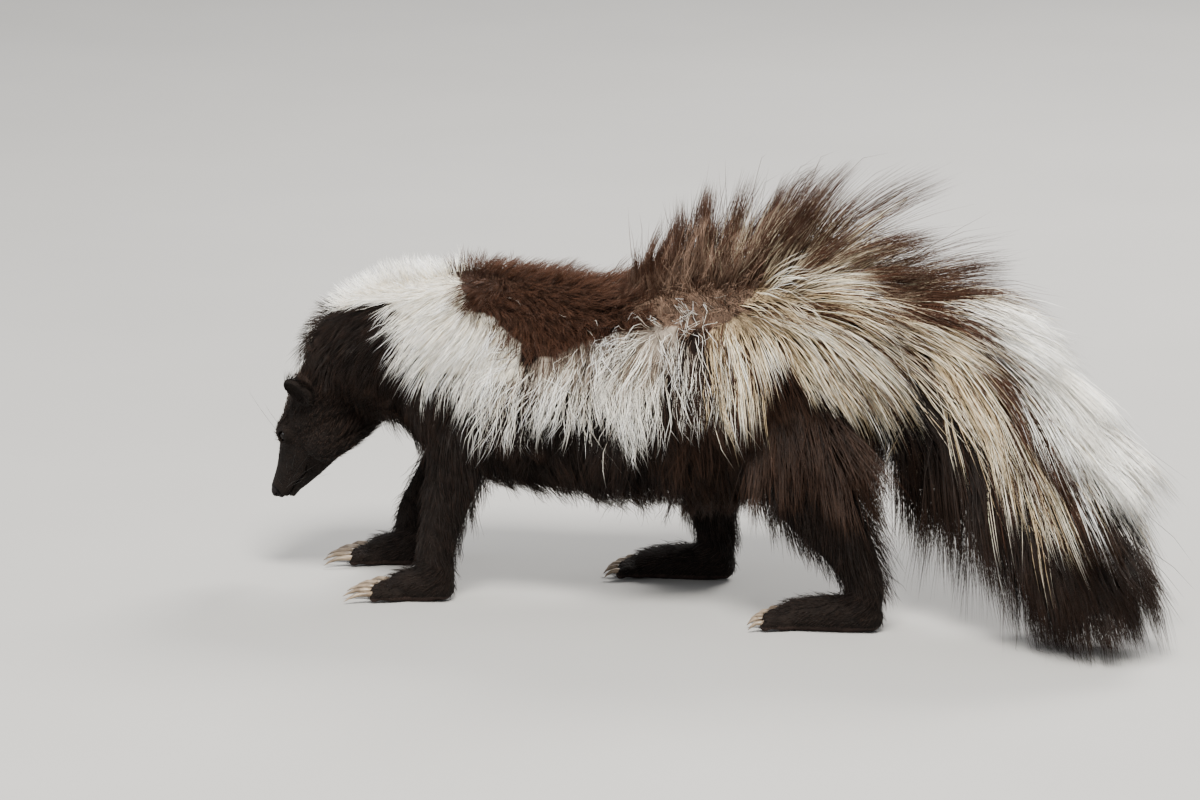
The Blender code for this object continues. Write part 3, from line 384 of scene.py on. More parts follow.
def foot_skin(name):
    x, y, _ = ankle(name)
    rows = [(x - ahead, y, z, height, height, width) for ahead, z, height, width in FEET[name[:4]]]
    heel = ball("heel", rows[0][:3], np.eye(3), (HEEL_DEPTH, rows[0][5], rows[0][4]))
    pieces = [tube("foot", between(rows)), tube("shin", leg_rings(name)[-6:]), heel]
    for root, way in toe_frames(name):
        path = [root - way * 0.9, root, root + way * 0.55 * TOE_LENGTH + UP * 0.10,
                root + way * 0.9 * TOE_LENGTH, root + way * TOE_LENGTH * 1.02]
        pieces.append(round_tube("toe", path, TOE_RADIUS * np.array([0.8, 1.0, 0.95, 0.85, 0.5])))
        middle = root + way * 0.82 * TOE_LENGTH - UP * 0.12
        pieces.append(ball("pad", middle, np.eye(3), PAD_SIZE, 12, 8))
    return cut(melt(join("foot", pieces), FINE_VOXEL, 4), box((-60, -60, -5), (60, 60, SOLE)))


def box(low, high):
    bm = bmesh.new()
    bmesh.ops.create_cube(bm, size=1)
    low, high = np.array(low, float), np.array(high, float)
    for vertex in bm.verts:
        vertex.co = Vector((low + high) / 2 + np.array(vertex.co) * (high - low))
    return closed_object("box", bm)


def tree_of(obj):
    bm = bmesh.new()
    bm.from_mesh(obj.data)
    tree = BVHTree.FromBMesh(bm)
    bm.free()
    return tree


def eye_frame(side):
    """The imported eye's middle in the sculptor's frame, and its outward, long and upright axes."""
    low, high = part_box("eye_left" if side < 0 else "eye_right")
    middle = (np.array(low) + np.array(high)) / 2 / CM - SHIFT
    out = unit(middle - on_head(4.9, 0, 0.55))
    along = unit(HEAD_TURN[:, 0] - out * np.dot(out, HEAD_TURN[:, 0]))
    return middle, out, along, np.cross(out, along)


def ring_path(middle, along, over, long, high, count=28):
    return [middle + along * math.cos(a) * long + over * math.sin(a) * high for a in angles(count)]


def torus(name, path, radius, sides=8):
    count, middle = len(path), np.mean(path, axis=0)
    loops = []
    for i, point in enumerate(path):
        way, out = unit(path[(i + 1) % count] - path[i - 1]), unit(point - middle)
        loops.append(circle(point, out, np.cross(way, out), radius, sides))
    return loft(name, loops, closed=True)


def mouth_points(tree, height, steps=14):
    """Round the muzzle at the lips' height, on the surface."""
    points = []
    for k in np.linspace(-1, 1, 2 * steps + 1):
        angle = math.radians(86) * k
        sag = 0.30 * math.sin(angle) ** 2 - 1.0 * max(0, abs(k) - 0.75)
        start = on_head(3.2, 0, height - sag)
        way = HEAD_TURN @ np.array([-math.cos(angle), math.sin(angle), 0])
        points.append(np.array(tree.ray_cast(Vector(start), Vector(way))[0]))
    return points


def ear_axes(side):
    """The ear's middle and its ways across, up and out of its cup."""
    up = unit(HEAD_TURN @ np.array([EAR_UP[0], side * EAR_UP[1], EAR_UP[2]]))
    face = HEAD_TURN @ np.array([EAR_FACE[0], side * EAR_FACE[1], EAR_FACE[2]])
    face = unit(face - up * np.dot(face, up))
    behind, out, above = EAR_PLACE
    return on_head(behind, side * out, above) + up * EAR_RISE, np.cross(up, face), up, face


def ear_forms(side):
    centre, across, up, face = ear_axes(side)
    ear = ball("ear", centre, (across, up, face), EAR_SIZE, 32, 24)
    cup_size = (EAR_SIZE[0] - EAR_WALL, EAR_SIZE[1] - EAR_WALL, EAR_SIZE[2])
    cut(ear, ball("cup", centre + face * 0.26 + up * 0.08, (across, up, face), cup_size, 32, 24))
    fold_middle = centre + face * 0.05 - up * 0.55 + across * 0.3
    return [ear, ball("ear fold", fold_middle, (across, up, face), EAR_FOLD, 16, 10)]


def head_skin():
    """Skull, cheeks, brows, ears, lids and lips as one fine skin, with the mouth and sockets cut in."""
    rows = []
    for behind, top, bottom, width in SKULL:
        half = (top - bottom) / 2
        rows.append((*on_head(behind, 0, (top + bottom) / 2), half, half, width))
    skull = tube("skull", between(rows), 32)
    tree = tree_of(skull)
    pieces = [skull]
    for side in (-1, 1):
        pieces += [head_ball(name, form, side) for name, form in SKULL_FORMS.items()]
        middle, out, along, over = eye_frame(side)
        pieces.append(ball("orbit", middle - out * 0.04, (along, over, out), ORBIT, 28, 18))
        lid = ring_path(middle + out * LID_OUT, along, over, LID_LONG, LID_HIGH)
        pieces.append(torus("lid", lid, LID_RADIUS))
        pieces += ear_forms(side)
    for height in LIP_HEIGHTS:
        path = mouth_points(tree, height)
        from_end = [min(i, len(path) - 1 - i) for i in range(len(path))]
        sizes = [LIP_RADIUS * min(1, 0.35 + 0.12 * steps) for steps in from_end]
        pieces.append(path_tube("lip", path, sizes, HEAD_TURN[:, 2]))
    head = melt(join("head", pieces), FINE_VOXEL, 4)
    path = mouth_points(tree_of(head), MOUTH_HEIGHT)
    cut(head, path_tube("mouth line", path, [MOUTH_RADIUS] * len(path), HEAD_TURN[:, 2], 2.6))
    for side in (-1, 1):
        middle, out, along, over = eye_frame(side)
        cut(head, ball("opening", middle + out * 0.5, (along, over, out), EYE_OPENING, 32, 20))
        cut(head, ball("socket", middle, np.eye(3), [EYE_RADIUS + SOCKET_GAP] * 3, 32, 20))
    return cut(head, head_ball("nose hole", NOSE_HOLE, 1, 32, 20))


def path_tube(name, path, radii, up, flat=1.0, sides=8):
    """A closed tube along a bending path, thinner or deeper across by the flat factor."""
    path, loops = np.array(path), []
    for point, way, radius in zip(path, unit(np.gradient(path, axis=0)), radii):
        side = unit(np.cross(way, up))
        loops.append(circle(point, side, np.cross(side, way), radius, sides, flat))
    return loft(name, loops)


def whole_skin():
    """One closed skin of the whole animal, in centimetres."""
    skin = body_skin()
    for part in [head_skin()] + [foot_skin(name) for name in LEGS]:
        boolean(skin, "UNION", part)
    bm = bmesh.new()
    bm.from_mesh(skin.data)
    bmesh.ops.triangulate(bm, faces=bm.faces)
    for face in bm.faces:
        face.smooth = True
    bm.to_mesh(skin.data)
    bm.free()
    return skin


# Where a point of the skin belongs, and how its coat lies
TAIL_LINE = between(TAIL, 6)[:, :3]
TAIL_WAYS = unit(np.gradient(TAIL_LINE, axis=0))
TAIL_START_X = 15.6


def nearest_on_tail(points):
    """Share along the tail, the axis point and the axis way nearest to each point."""
    gaps = np.linalg.norm(points[:, None, :] - TAIL_LINE[None], axis=2)
    index = gaps.argmin(axis=1)
    first = np.argmax(TAIL_LINE[:, 0] > TAIL_START_X)
    share = np.clip((index - first) / (len(TAIL_LINE) - 1 - first), 0, 1)
    return share, TAIL_LINE[index], TAIL_WAYS[index]


def leg_nearness(points):
    """For each point: how near it is to its nearest leg's axis, in widths of that leg, and whether hind."""
    best = np.full(len(points), 99.0)
    hind = np.zeros(len(points), bool)
    for name in LEGS:
        for ring in leg_rings(name)[3:]:
            offset = points - ring[:3]
            ratio = np.sqrt((offset[:, 0] / ring[3]) ** 2 + (offset[:, 1] / ring[5]) ** 2
                            + (offset[:, 2] / 1.6) ** 2)
            closer = ratio < best
            best[closer] = ratio[closer]
            hind[closer] = name.startswith("hind")
    return best, hind


def head_places(points):
    """Distance behind the nose tip, out to the side and above, as the head lies."""
    return (points - NOSE_TIP) @ HEAD_TURN


def part_of(points):
    """Which part each point is on."""
    part = np.full(len(points), ON_TORSO)
    near, _ = leg_nearness(points)
    part[(near < 1.35) & (points[:, 2] < AXIS_HEIGHT - 3.2)] = ON_LEG
    part[points[:, 2] < 2.6] = ON_PAW
    behind, out, above = head_places(points).T
    part[(behind < 9.2) & (above > -3.5) & (np.abs(out) < 4.8)] = ON_HEAD
    tail_gap = np.linalg.norm(points - nearest_on_tail(points)[1], axis=1)
    part[(points[:, 0] > TAIL_START_X) & (tail_gap < 2.6)] = ON_TAIL
    return part


def turn_from_top(points):
    """Degrees round the body from the top of the back, the same on both sides."""
    return np.degrees(np.arctan2(np.abs(points[:, 1]), points[:, 2] - AXIS_HEIGHT))


def flat_on(way, normals):
    """The part of each way that lies along the skin."""
    return unit(way - normals * (normals * way).sum(1, keepdims=True))


def groom_torso(points, normals):
    """Lengths, starting ways and ending ways of torso and neck hair, by nearness to the groom's rows."""
    across = (points[:, 0][:, None] - GROOM[None, :, 0]) / GROOM_REACH[0]
    around = (turn_from_top(points)[:, None] - GROOM[None, :, 1]) / GROOM_REACH[1]
    weight = 1 / (across**2 + around**2 + 0.15) ** 2.2
    weight /= weight.sum(axis=1, keepdims=True)
    values = weight @ GROOM[:, 2:]
    back = flat_on(np.array([1.0, 0, 0]), normals)
    side = np.sign(points[:, 1])[:, None]
    down = flat_on(-UP + np.array([0, 0.35, 0]) * side, normals)
    start, end = (normals * values[:, k : k + 1] + back * values[:, k + 1 : k + 2]
                  + down * values[:, k + 2 : k + 3] for k in (1, 4))
    return values[:, 0], unit(start), unit(end)


def groom_head(points, normals):
    behind, out, above = head_places(points).T
    outward = np.sign(out)[:, None] * HEAD_TURN[:, 1] * 0.25
    flat = flat_on(unit(HEAD_TURN[:, 0] + outward * ease(2, 5, behind)[:, None]), normals)
    length = np.interp(behind, (0, 1.5, 3, 5, 7, 9.5), (0.16, 0.26, 0.42, 0.70, 1.0, 1.5))
    length = length * (1 + 0.9 * ease(0.5, 2.2, -above) * ease(3.5, 7, behind))
    lift = np.interp(behind, (0, 3, 7, 9.5), (0.30, 0.36, 0.48, 0.60))[:, None]
    return length, unit(flat + normals * lift), unit(flat + normals * lift * 0.35)


def groom_tail(points, normals):
    share, centre, way = nearest_on_tail(points)
    out = unit(points - centre)
    length = np.interp(share, np.linspace(0, 1, len(TAIL_LENGTHS)), TAIL_LENGTHS)
    below = np.clip(-out[:, 2:3], 0, 1)
    flank = (1 - np.clip(out[:, 2:3], 0, 1)) * (1 - ease(0.15, 0.60, share))[:, None]
    root = (1 - ease(0.20, 0.60, share))[:, None]
    start = way * (0.78 - 0.35 * below * root) + out * 0.58 - UP * (0.25 * flank + 0.5 * below * root)
    end = way * (0.96 - (0.5 + 0.5 * root) * below) - out * 0.02 - UP * (0.30 + 0.9 * below + 0.5 * flank)
    return length * (1 + (0.20 + 0.25 * root[:, 0]) * below[:, 0]), unit(start), unit(end)


def groom_leg(points, normals):
    _, hind = leg_nearness(points)
    fore, rear = (np.interp(points[:, 2], LEG_HEIGHTS, LEG_LENGTHS[kind]) for kind in ("fore", "hind"))
    length = np.where(hind, rear, fore) * (1 + 0.5 * np.clip(normals[:, 0], 0, 1))
    flat = flat_on(np.array([0.18, 0, -1.0]), normals)
    return length, unit(flat + normals * 0.55), unit(flat + normals * 0.08 - UP * 0.3)


def groom_paw(points, normals):
    flat = flat_on(np.array([-1.0, 0, -0.45]), normals)
    length = np.interp(points[:, 2], (0.2, 1.0, 2.6), (0.34, 0.70, 1.20))
    return length, unit(flat + normals * 0.60), unit(flat + normals * 0.16)


GROOMERS = (groom_torso, groom_head, groom_tail, groom_leg, groom_paw)  # in the parts' order


def stripe(distance, half, soft):
    """The share of a stripe, with soft edges, at a distance from its middle."""
    return 1 - ease(half - soft, half + soft, np.abs(distance))


def ragged(points, scale=1.0):
    """An uneven value from about -1 to 1 over the coat, which keeps the markings' edges irregular."""
    waves = ((1.3, 0.7, -0.9, 0.4), (-0.8, 1.9, 1.1, 2.1), (2.6, -1.2, 1.7, 4.0), (0.9, 2.8, -2.3, 5.2))
    return sum(np.sin(points @ np.array(way[:3]) * scale + way[3]) for way in waves) / 2.4


def torso_marks(points):
    """Shares of snow-white, grey-white flank, cream and dark-tipped crest hair on neck and torso."""
    x = points[:, 0] + 0.25 * ragged(points, 1.3)
    turn = turn_from_top(points) + 3.5 * ragged(points)
    front, rear = np.interp(turn, *BAND_FRONT), np.interp(turn, *BAND_REAR)
    shoulder = ease(-0.5, 0.5, x - front) * (1 - ease(-0.35, 0.35, x - rear)) * (1 - ease(84, 96, turn))
    middle, half = np.interp(x, STRIPE_X, STRIPE_MIDDLE), np.interp(x, STRIPE_X, STRIPE_HALF)
    band = stripe(turn - middle, half, 7) * ease(-9.0, -7.5, x)
    cream = band * ease(5.0, 8.5, x)
    crest = (1 - ease(22, 40, turn)) * ease(-1.5, 1.5, x)
    return np.clip(np.stack([shoulder, (band - cream) * (1 - shoulder), cream, crest], axis=1), 0, 1)


def tail_marks(points):
    """Share along the tail and degrees round it from its upper edge, positive on the left."""
    share, centre, way = nearest_on_tail(points)
    out, side = unit(points - centre), unit(np.cross(way, UP))
    top = np.cross(side, way)
    return share, np.degrees(np.arctan2((out * side).sum(1), (out * top).sum(1)))


def ramp(t, stops):
    """Colour along a hair from (share, colour) stops."""
    shares = [stop[0] for stop in stops]
    return np.stack([np.interp(t, shares, [stop[1][c] for stop in stops]) for c in range(3)], axis=-1)


# Colour of each kind of hair from root (0) to tip (1). Darker roots are partly the underfur's own colour and
# partly painted shade: the coat's shadow on itself near the skin.
HAIRS = {
    "dark": [(0, BROWN), (0.5, RUST), (1, RUST)],
    "black": [(0, BLACK), (0.6, BLACK), (1, BROWN)],
    "white": [(0, CREAM), (0.15, WHITE), (1, SNOW)],
    "flank": [(0, UNDERFUR), (0.22, GREY), (0.5, WHITE), (1, SNOW)],
    "cream": [(0, UNDERFUR), (0.14, TAN), (0.45, CREAM), (1, WHITE)],
    "tan": [(0, UNDERFUR), (0.25, TAN), (0.7, TAN), (1, CREAM)],
    "streak": [(0, BROWN), (0.4, RUST), (0.8, RUST), (1, BROWN)],
    "crest": [(0, UNDERFUR), (0.20, MAUVE), (0.40, RUST), (1, BROWN)],
    "pale crest": [(0, UNDERFUR), (0.15, CREAM), (0.36, CREAM), (0.50, RUST), (1, BROWN)],
    "fuzz": [(0, UNDERFUR), (0.5, MAUVE), (1, UNDERFUR)],
    "thigh": [(0, BLACK), (0.6, BROWN), (1, BROWN)],
}
HAIR_NAMES = list(HAIRS)


def pick_hairs(points, part, dice):
    """The kind of each hair, drawn by its root's marks. The dice are even shares from 0 to 1: one for each
    hair, one nearly shared by small locks, one half shared by big locks."""
    kind = np.full(len(points), HAIR_NAMES.index("black"))

    def paint(name, where):
        kind[where] = HAIR_NAMES.index(name)

    x, turn = points[:, 0], turn_from_top(points)
    one, small, big = dice.T
    shoulder, flank, cream, crest = torso_marks(points).T
    torso = part == ON_TORSO
    paint("dark", torso & (turn < 75) & (x > -11))
    paint("thigh", torso & (x > 4) & (turn >= 55))
    tuft = torso & (one < crest)
    paint("crest", tuft)
    paint("pale crest", tuft & (small < ease(3.0, 7.0, x) * 0.46))
    fuzzy = fuzz_share(points)
    whorl = torso & (big < fuzzy * 0.95)
    paint("fuzz", whorl)
    paint("streak", whorl & (small > 0.58))
    pale = torso & (one * 0.5 + small * 0.5 < cream * (1 - 0.8 * fuzzy)) & ~(tuft & (turn < 24))
    paint("cream", pale)
    paint("tan", pale & (small < 0.30))
    paint("white", pale & (small > 0.64) & (small < 0.74))
    streaks = ease(-0.2, 0.8, np.sin(np.radians(turn) * 16 + x * 0.4)) * ease(5, 9, x)
    paint("streak", pale & (small > 0.80 - 0.10 * ease(5, 9, x) - 0.24 * streaks))
    grey = torso & (one * 0.4 + big * 0.6 < flank * (1 - 0.50 * ease(0.5, 4.5, x)))
    paint("flank", grey)
    paint("white", grey & (one > 0.6))
    paint("black", grey & (small > 0.73))
    paint("flank", torso & (turn < 60) & (x > -7) & (x < 4) & (one > 0.9985))
    paint("white", torso & (one < shoulder))
    paint("white", (part == ON_HEAD) & in_blaze(points, one))
    pick_tail(points, part == ON_TAIL, dice, paint)
    return kind


def fuzz_share(points):
    """How far a place is in the short curly underfur before the whorl on each side of the rump."""
    x, turn = points[:, 0], turn_from_top(points)
    whorl = stripe(turn - np.interp(x, *FUZZ_MIDDLE), np.interp(x, *FUZZ_HALF), 7)
    return whorl * ease(-0.5, 5.5, x) * (1 - ease(7.6, 9.4, x))


def pick_tail(points, tail, dice, paint):
    """Cream and tan hair with dark streaks, dark at the root's top, a white upper edge, black below and
    over the end."""
    share, ring = tail_marks(points)
    ring = ring + 5 * ragged(points, 1.2)
    side = np.abs(ring)
    _, small, big = dice.T
    paint("cream", tail)
    paint("tan", tail & (small < 0.34))
    streaks = ease(-0.2, 0.8, np.sin(np.radians(ring) * 17 + share * 2))
    paint("streak", tail & (small > 0.80 - 0.28 * streaks - 0.12 * ease(0.10, 0.45, share)))
    white_edge = stripe(ring + 4, 38, 9) * ease(0.04, 0.16, share)
    paint("white", tail & (big < white_edge * 0.98) & (small < 0.95))
    line = stripe(ring - 42, 9, 5) * ease(0.04, 0.12, share)
    paint("streak", tail & (small < line * 0.7))
    dark_top = stripe(ring - 14, 40, 12) * (1 - ease(0.05, 0.18, share))
    paint("streak", tail & (small < dark_top * 0.55))
    end = ease(0.58, 0.72, share + 0.0016 * np.clip(side - 40, 0, 70))
    under = ease(92, 116, side + 24 * share)
    paint("black", tail & (big > 1 - np.maximum(under, end)))


def in_blaze(points, dice):
    """Whether each place is in the white line down the face, whose edge the dice make uneven."""
    behind, out, above = head_places(points).T
    return (np.abs(out) < np.interp(behind, *BLAZE) * (0.7 + 0.6 * dice)) & (above > 0)


def skin_colours(points):
    """The same markings on the skin, in the hairs' colours near their roots, painted shade included, a fifth
    darker.
    """
    part = part_of(points)
    kind = pick_hairs(points, part, np.full((len(points), 3), 0.5))
    # colour near each kind's root, which holds painted shade of the coat on itself
    table = np.array([ramp(0.12, HAIRS[name]) for name in HAIR_NAMES])
    colour = table[kind] * 0.8
    colour[(part == ON_PAW) & (points[:, 2] < 0.35)] = SOLE_SKIN
    return colour


def vertex_values(values, name):
    """Three numbers for each vertex."""
    flat = np.empty(len(values) * 3)
    values.foreach_get(name, flat)
    return flat.reshape(-1, 3)


def surface_arrays(skin):
    """The skin's corner places, smooth normals, triangles and their areas."""
    mesh = skin.data
    co, normal = vertex_values(mesh.vertices, "co"), vertex_values(mesh.vertex_normals, "vector")
    tri = np.empty(len(mesh.polygons) * 3, int)
    mesh.polygons.foreach_get("vertices", tri)
    tri = tri.reshape(-1, 3)
    a, b, c = (co[tri[:, k]] for k in range(3))
    return co, normal, tri, np.linalg.norm(np.cross(b - a, c - a), axis=1) / 2


def scatter(surface, weight, count):
    """Roots spread over the triangles by area and weight: place and smooth normal."""
    co, normal, tri, area = surface
    chance = np.cumsum(area * weight)
    count = int(count * DENSITY)
    pick = np.searchsorted(chance, (np.arange(count) + rng.random(count)) / count * chance[-1])
    u, v = rng.random(count), rng.random(count)
    over = u + v > 1
    u[over], v[over] = 1 - u[over], 1 - v[over]
    weights = ((1 - u - v)[:, None], u[:, None], v[:, None])
    place = sum(co[tri[pick, k]] * weights[k] for k in range(3))
    out = unit(sum(normal[tri[pick, k]] * weights[k] for k in range(3)))
    return place, out


def bare_places(centres, normals, part):
    """Soles, nose, eyelids and the inside of the ears have no coat."""
    from_nose = np.linalg.norm(head_places(centres) - np.array([0.2, 0, 0.1]), axis=1)
    bare = (part == ON_PAW) & ((normals[:, 2] < -0.5) | (centres[:, 2] < 0.25))
    bare |= (part == ON_HEAD) & (from_nose < 0.75)
    for side in (-1, 1):
        bare |= np.linalg.norm(centres - eye_frame(side)[0], axis=1) < EYE_RADIUS + 0.16
        centre, _, up, face = ear_axes(side)
        inside = centres - centre - face * 0.05
        bare |= (np.linalg.norm(inside, axis=1) < 1.05) & ((normals @ face) > 0.25) & ((inside @ up) > -0.5)
    return bare


def grow(points, normals, part, segments, wild, lock, uneven):
    """Centre lines of hairs: root, then points along a curve from its starting way to its ending way.
    Hairs of one lock share most of their stray and differ from the next lock's in length."""
    count = len(points)
    length, start, end = np.empty(count), np.empty((count, 3)), np.empty((count, 3))
    for index, groomer in enumerate(GROOMERS):
        here = part == index
        if here.any():
            length[here], start[here], end[here] = groomer(points[here], normals[here])
    length *= rng.uniform(0.72, 1.08, count) * np.clip(rng.normal(1, uneven, count), 0.6, 1.3)[lock]
    loose = rng.random(count) < 0.05
    spread = np.where(loose, 0.13, 0.05)[:, None] * wild
    stray = np.clip(rng.normal(0, 1, (count, 3)), -1.7, 1.7) * spread
    stray += (np.clip(rng.normal(0, 1, (count, 3)), -1.7, 1.7) * 0.09 * wild)[lock]
    start = unit(start + stray)
    end = unit(end + stray * 1.5 + rng.normal(0, 0.04, (count, 3)) * wild)
    shares = np.linspace(0, 1, segments + 1)
    line = np.empty((count, segments + 1, 3))
    line[:, 0] = points - normals * ROOT_DEPTH
    for k in range(segments):
        t = ((shares[k] + shares[k + 1]) / 2) ** 0.8
        way = unit(start * (1 - t) + end * t)
        line[:, k + 1] = line[:, k] + way * (length / segments)[:, None]
    return line, loose


def leaders_of(roots, spacing):
    """For each hair, the one nearest to the middle of its lock."""
    cells = np.floor(roots / spacing + rng.random(3)).astype(int)
    cells -= cells.min(axis=0)
    span = cells.max(axis=0) + 1
    key = (cells[:, 0] * span[1] + cells[:, 1]) * span[2] + cells[:, 2]
    _, leaders = np.unique(key, return_index=True)
    tree = KDTree(len(leaders))
    for i, leader in enumerate(leaders):
        tree.insert(roots[leader], i)
    tree.balance()
    return np.array([leaders[tree.find(p)[1]] for p in roots])


def clump(line, loose, nearest, strength, onset):
    """Draws hairs together towards their tips into locks: the lower the onset, the nearer the root."""
    shares = np.linspace(0, 1, line.shape[1])[None, :, None]
    own = strength * rng.uniform(0.6, 1.0, len(line)) * np.where(rng.random(len(line)) < 0.15, 0.4, 1.0)
    own[loose] *= 0.15
    pull = own[:, None, None] * shares**onset * (1 - 0.15 * onset * shares**4)
    return line + (line[nearest] - line) * pull


def hold_in(line):
    """Softly bends back the few stray hairs that reach far above and outside the coat's outline."""
    low, high = (np.array(corner) / CM - SHIFT for corner in (start_low, start_high))
    over, under = line - (high + FREE_REACH), (low - FREE_REACH) - line
    return line - np.maximum(over, 0) * BEND_BACK + np.maximum(under, 0) * BEND_BACK


def curliness(points, part):
    """How much the hair kinks: most in the underfur before the whorl and along the flank stripe."""
    turn = turn_from_top(points)
    flank = stripe(turn - 78, 22, 8) * ease(-8, -5, points[:, 0]) * (1 - ease(5, 9, points[:, 0]))
    return np.where(part == ON_TORSO, 0.7 + 0.9 * flank + 1.4 * fuzz_share(points), 0.7)


def wave(line, lock, height, waves):
    """Bends hairs to and fro across their length, mostly in step within a lock."""
    shares = np.linspace(0, 1, line.shape[1])[None, :]
    phase = rng.uniform(0, 6.28, len(line))
    phase = phase[lock] + rng.normal(0, 0.6, len(line))
    turns = waves * rng.uniform(0.8, 1.3, len(line))
    sway = np.sin(phase[:, None] + shares * turns[:, None] * 6.28) - np.sin(phase)[:, None]
    across = unit(np.cross(line[:, -1] - line[:, 0], rng.normal(0, 1, (len(line), 3))[lock]))
    reach = height[:, None] * shares**0.7
    return line + across[:, None] * (sway * reach)[..., None]


def keep_outside(line, tree, clear):
    """Lifts hairs that would dip under the skin, and off the floor."""
    for k in range(1, line.shape[1]):
        for i, point in enumerate(line[:, k]):
            place, normal, _, distance = tree.find_nearest(point)
            if distance < 1.5 and (Vector(point) - place).dot(normal) < clear:
                line[i, k] = place + normal * clear
    line[..., 2] = np.maximum(line[..., 2], LONG_HAIR_FLOOR)
    return line


def hair_rings(line, normals, widths):
    """Three corners round each point of each hair and one at its tip."""
    ways = unit(np.gradient(line, axis=1))
    side = np.cross(ways, np.broadcast_to(normals[:, None, :], ways.shape))
    side[np.linalg.norm(side, axis=2) < 0.05] = (0, 1, 0)
    side = unit(side)
    up = np.cross(side, ways)
    rings = line.shape[1] - 1
    taper = np.interp(np.linspace(0, 1, rings + 1), (0, 0.35, 0.75, 1), (0.8, 1.0, 0.62, 0.1))
    verts = np.empty((len(line), rings * 3 + 1, 3))
    for k in range(rings):
        radius = (widths * taper[k])[:, None]
        for j, angle in enumerate(np.radians((90, 210, 330))):
            offset = side[:, k] * math.cos(angle) + up[:, k] * math.sin(angle) * 0.7
            verts[:, k * 3 + j] = line[:, k] + offset * radius
    verts[:, -1] = line[:, -1]
    return verts


def hair_faces(rings):
    """One hair's triangles: its root's, its sides' and its tip's."""
    faces = [(0, 2, 1)]
    for k in range(rings - 1):
        for j in range(3):
            a, b = k * 3 + j, k * 3 + (j + 1) % 3
            faces += [(a, b, b + 3), (a, b + 3, a + 3)]
    last = (rings - 1) * 3
    return np.array(faces + [(last + j, last + (j + 1) % 3, last + 3) for j in range(3)])


def add_tint(mesh, colours):
    """Writes a colour for each vertex."""
    rgba = np.ones((len(mesh.vertices), 4))
    rgba[:, :3] = colours
    mesh.color_attributes.new("tint", "FLOAT_COLOR", "POINT").data.foreach_set("color", rgba.ravel())


def coat_mesh(name, line, normals, widths, colours, uv):
    """Joined closed three-sided tapered hairs from centre lines."""
    verts = hair_rings(line, normals, widths)
    count, per = verts.shape[:2]
    rings = line.shape[1] - 1
    corners = (hair_faces(rings)[None] + (np.arange(count) * per)[:, None, None]).ravel()
    mesh = bpy.data.meshes.new(name)
    mesh.vertices.add(count * per)
    mesh.vertices.foreach_set("co", ((verts + SHIFT) * CM).ravel())
    mesh.loops.add(len(corners))
    mesh.loops.foreach_set("vertex_index", corners.astype(np.int32))
    mesh.polygons.add(len(corners) // 3)
    mesh.polygons.foreach_set("loop_start", np.arange(0, len(corners), 3, dtype=np.int32))
    mesh.update(calc_edges=True)
    mesh.polygons.foreach_set("use_smooth", np.ones(len(corners) // 3, bool))
    ring_of = np.append(np.repeat(np.arange(rings), 3), rings)
    add_tint(mesh, colours[:, ring_of].reshape(-1, 3))
    across = np.append(np.tile(np.arange(3) / 3, rings), 0.5)
    local = np.stack([across, np.linspace(0, 1, rings + 1)[ring_of]], axis=1)
    patch = uv[:, None, :] + (local[None] - 0.5) * UV_PATCH
    mesh.uv_layers.new(name="OFBake").data.foreach_set("uv", patch.reshape(-1, 2)[corners].ravel())
    return link(name, mesh)


def unrolled(points, part):
    """Each root's place on the skin rolled out flat: along the part and round it, from 0 to 1."""
    x, y, z = points.T
    if part == ON_HEAD:
        along, out, above = head_places(points).T
        around = np.arctan2(out, above)
    elif part == ON_TAIL:
        along, ring = tail_marks(points)
        around = np.radians(ring)
    elif part in (ON_LEG, ON_PAW):
        ankles = np.array([ankle(name)[:2] for name in LEGS])
        which = np.linalg.norm(points[:, None, :2] - ankles[None], axis=2).argmin(axis=1)
        across, aside = (points[:, :2] - ankles[which]).T
        along, around = z / 12 + which, np.arctan2(aside, across)
    else:
        along, around = x, np.arctan2(y, z - AXIS_HEIGHT)
    spans = ((values - values.min()) / max(np.ptp(values), 1e-6) for values in (along, around))
    return np.stack([0.02 + 0.96 * span for span in spans], axis=1)


def hair_colours(line, kinds, lock):
    """Colours along each hair by its kind. Each lock is lighter or darker and changes nearer to or further
    from its root than the next."""
    count = len(line)
    early = np.exp(np.clip(rng.normal(0, 0.38, count)[lock] + rng.normal(0, 0.08, count), -0.8, 0.8))
    shares = np.linspace(0, 1, line.shape[1])[None, :] ** early[:, None]
    colours = np.empty((*shares.shape, 3))
    for index, name in enumerate(HAIR_NAMES):
        colours[kinds == index] = ramp(shares[kinds == index], HAIRS[name])
    shade = rng.normal(1, 0.12, (count, 1, 1)) * rng.normal(1, 0.12, (count, 1, 1))[lock]
    return np.clip(colours * shade, 0.002, 0.96)


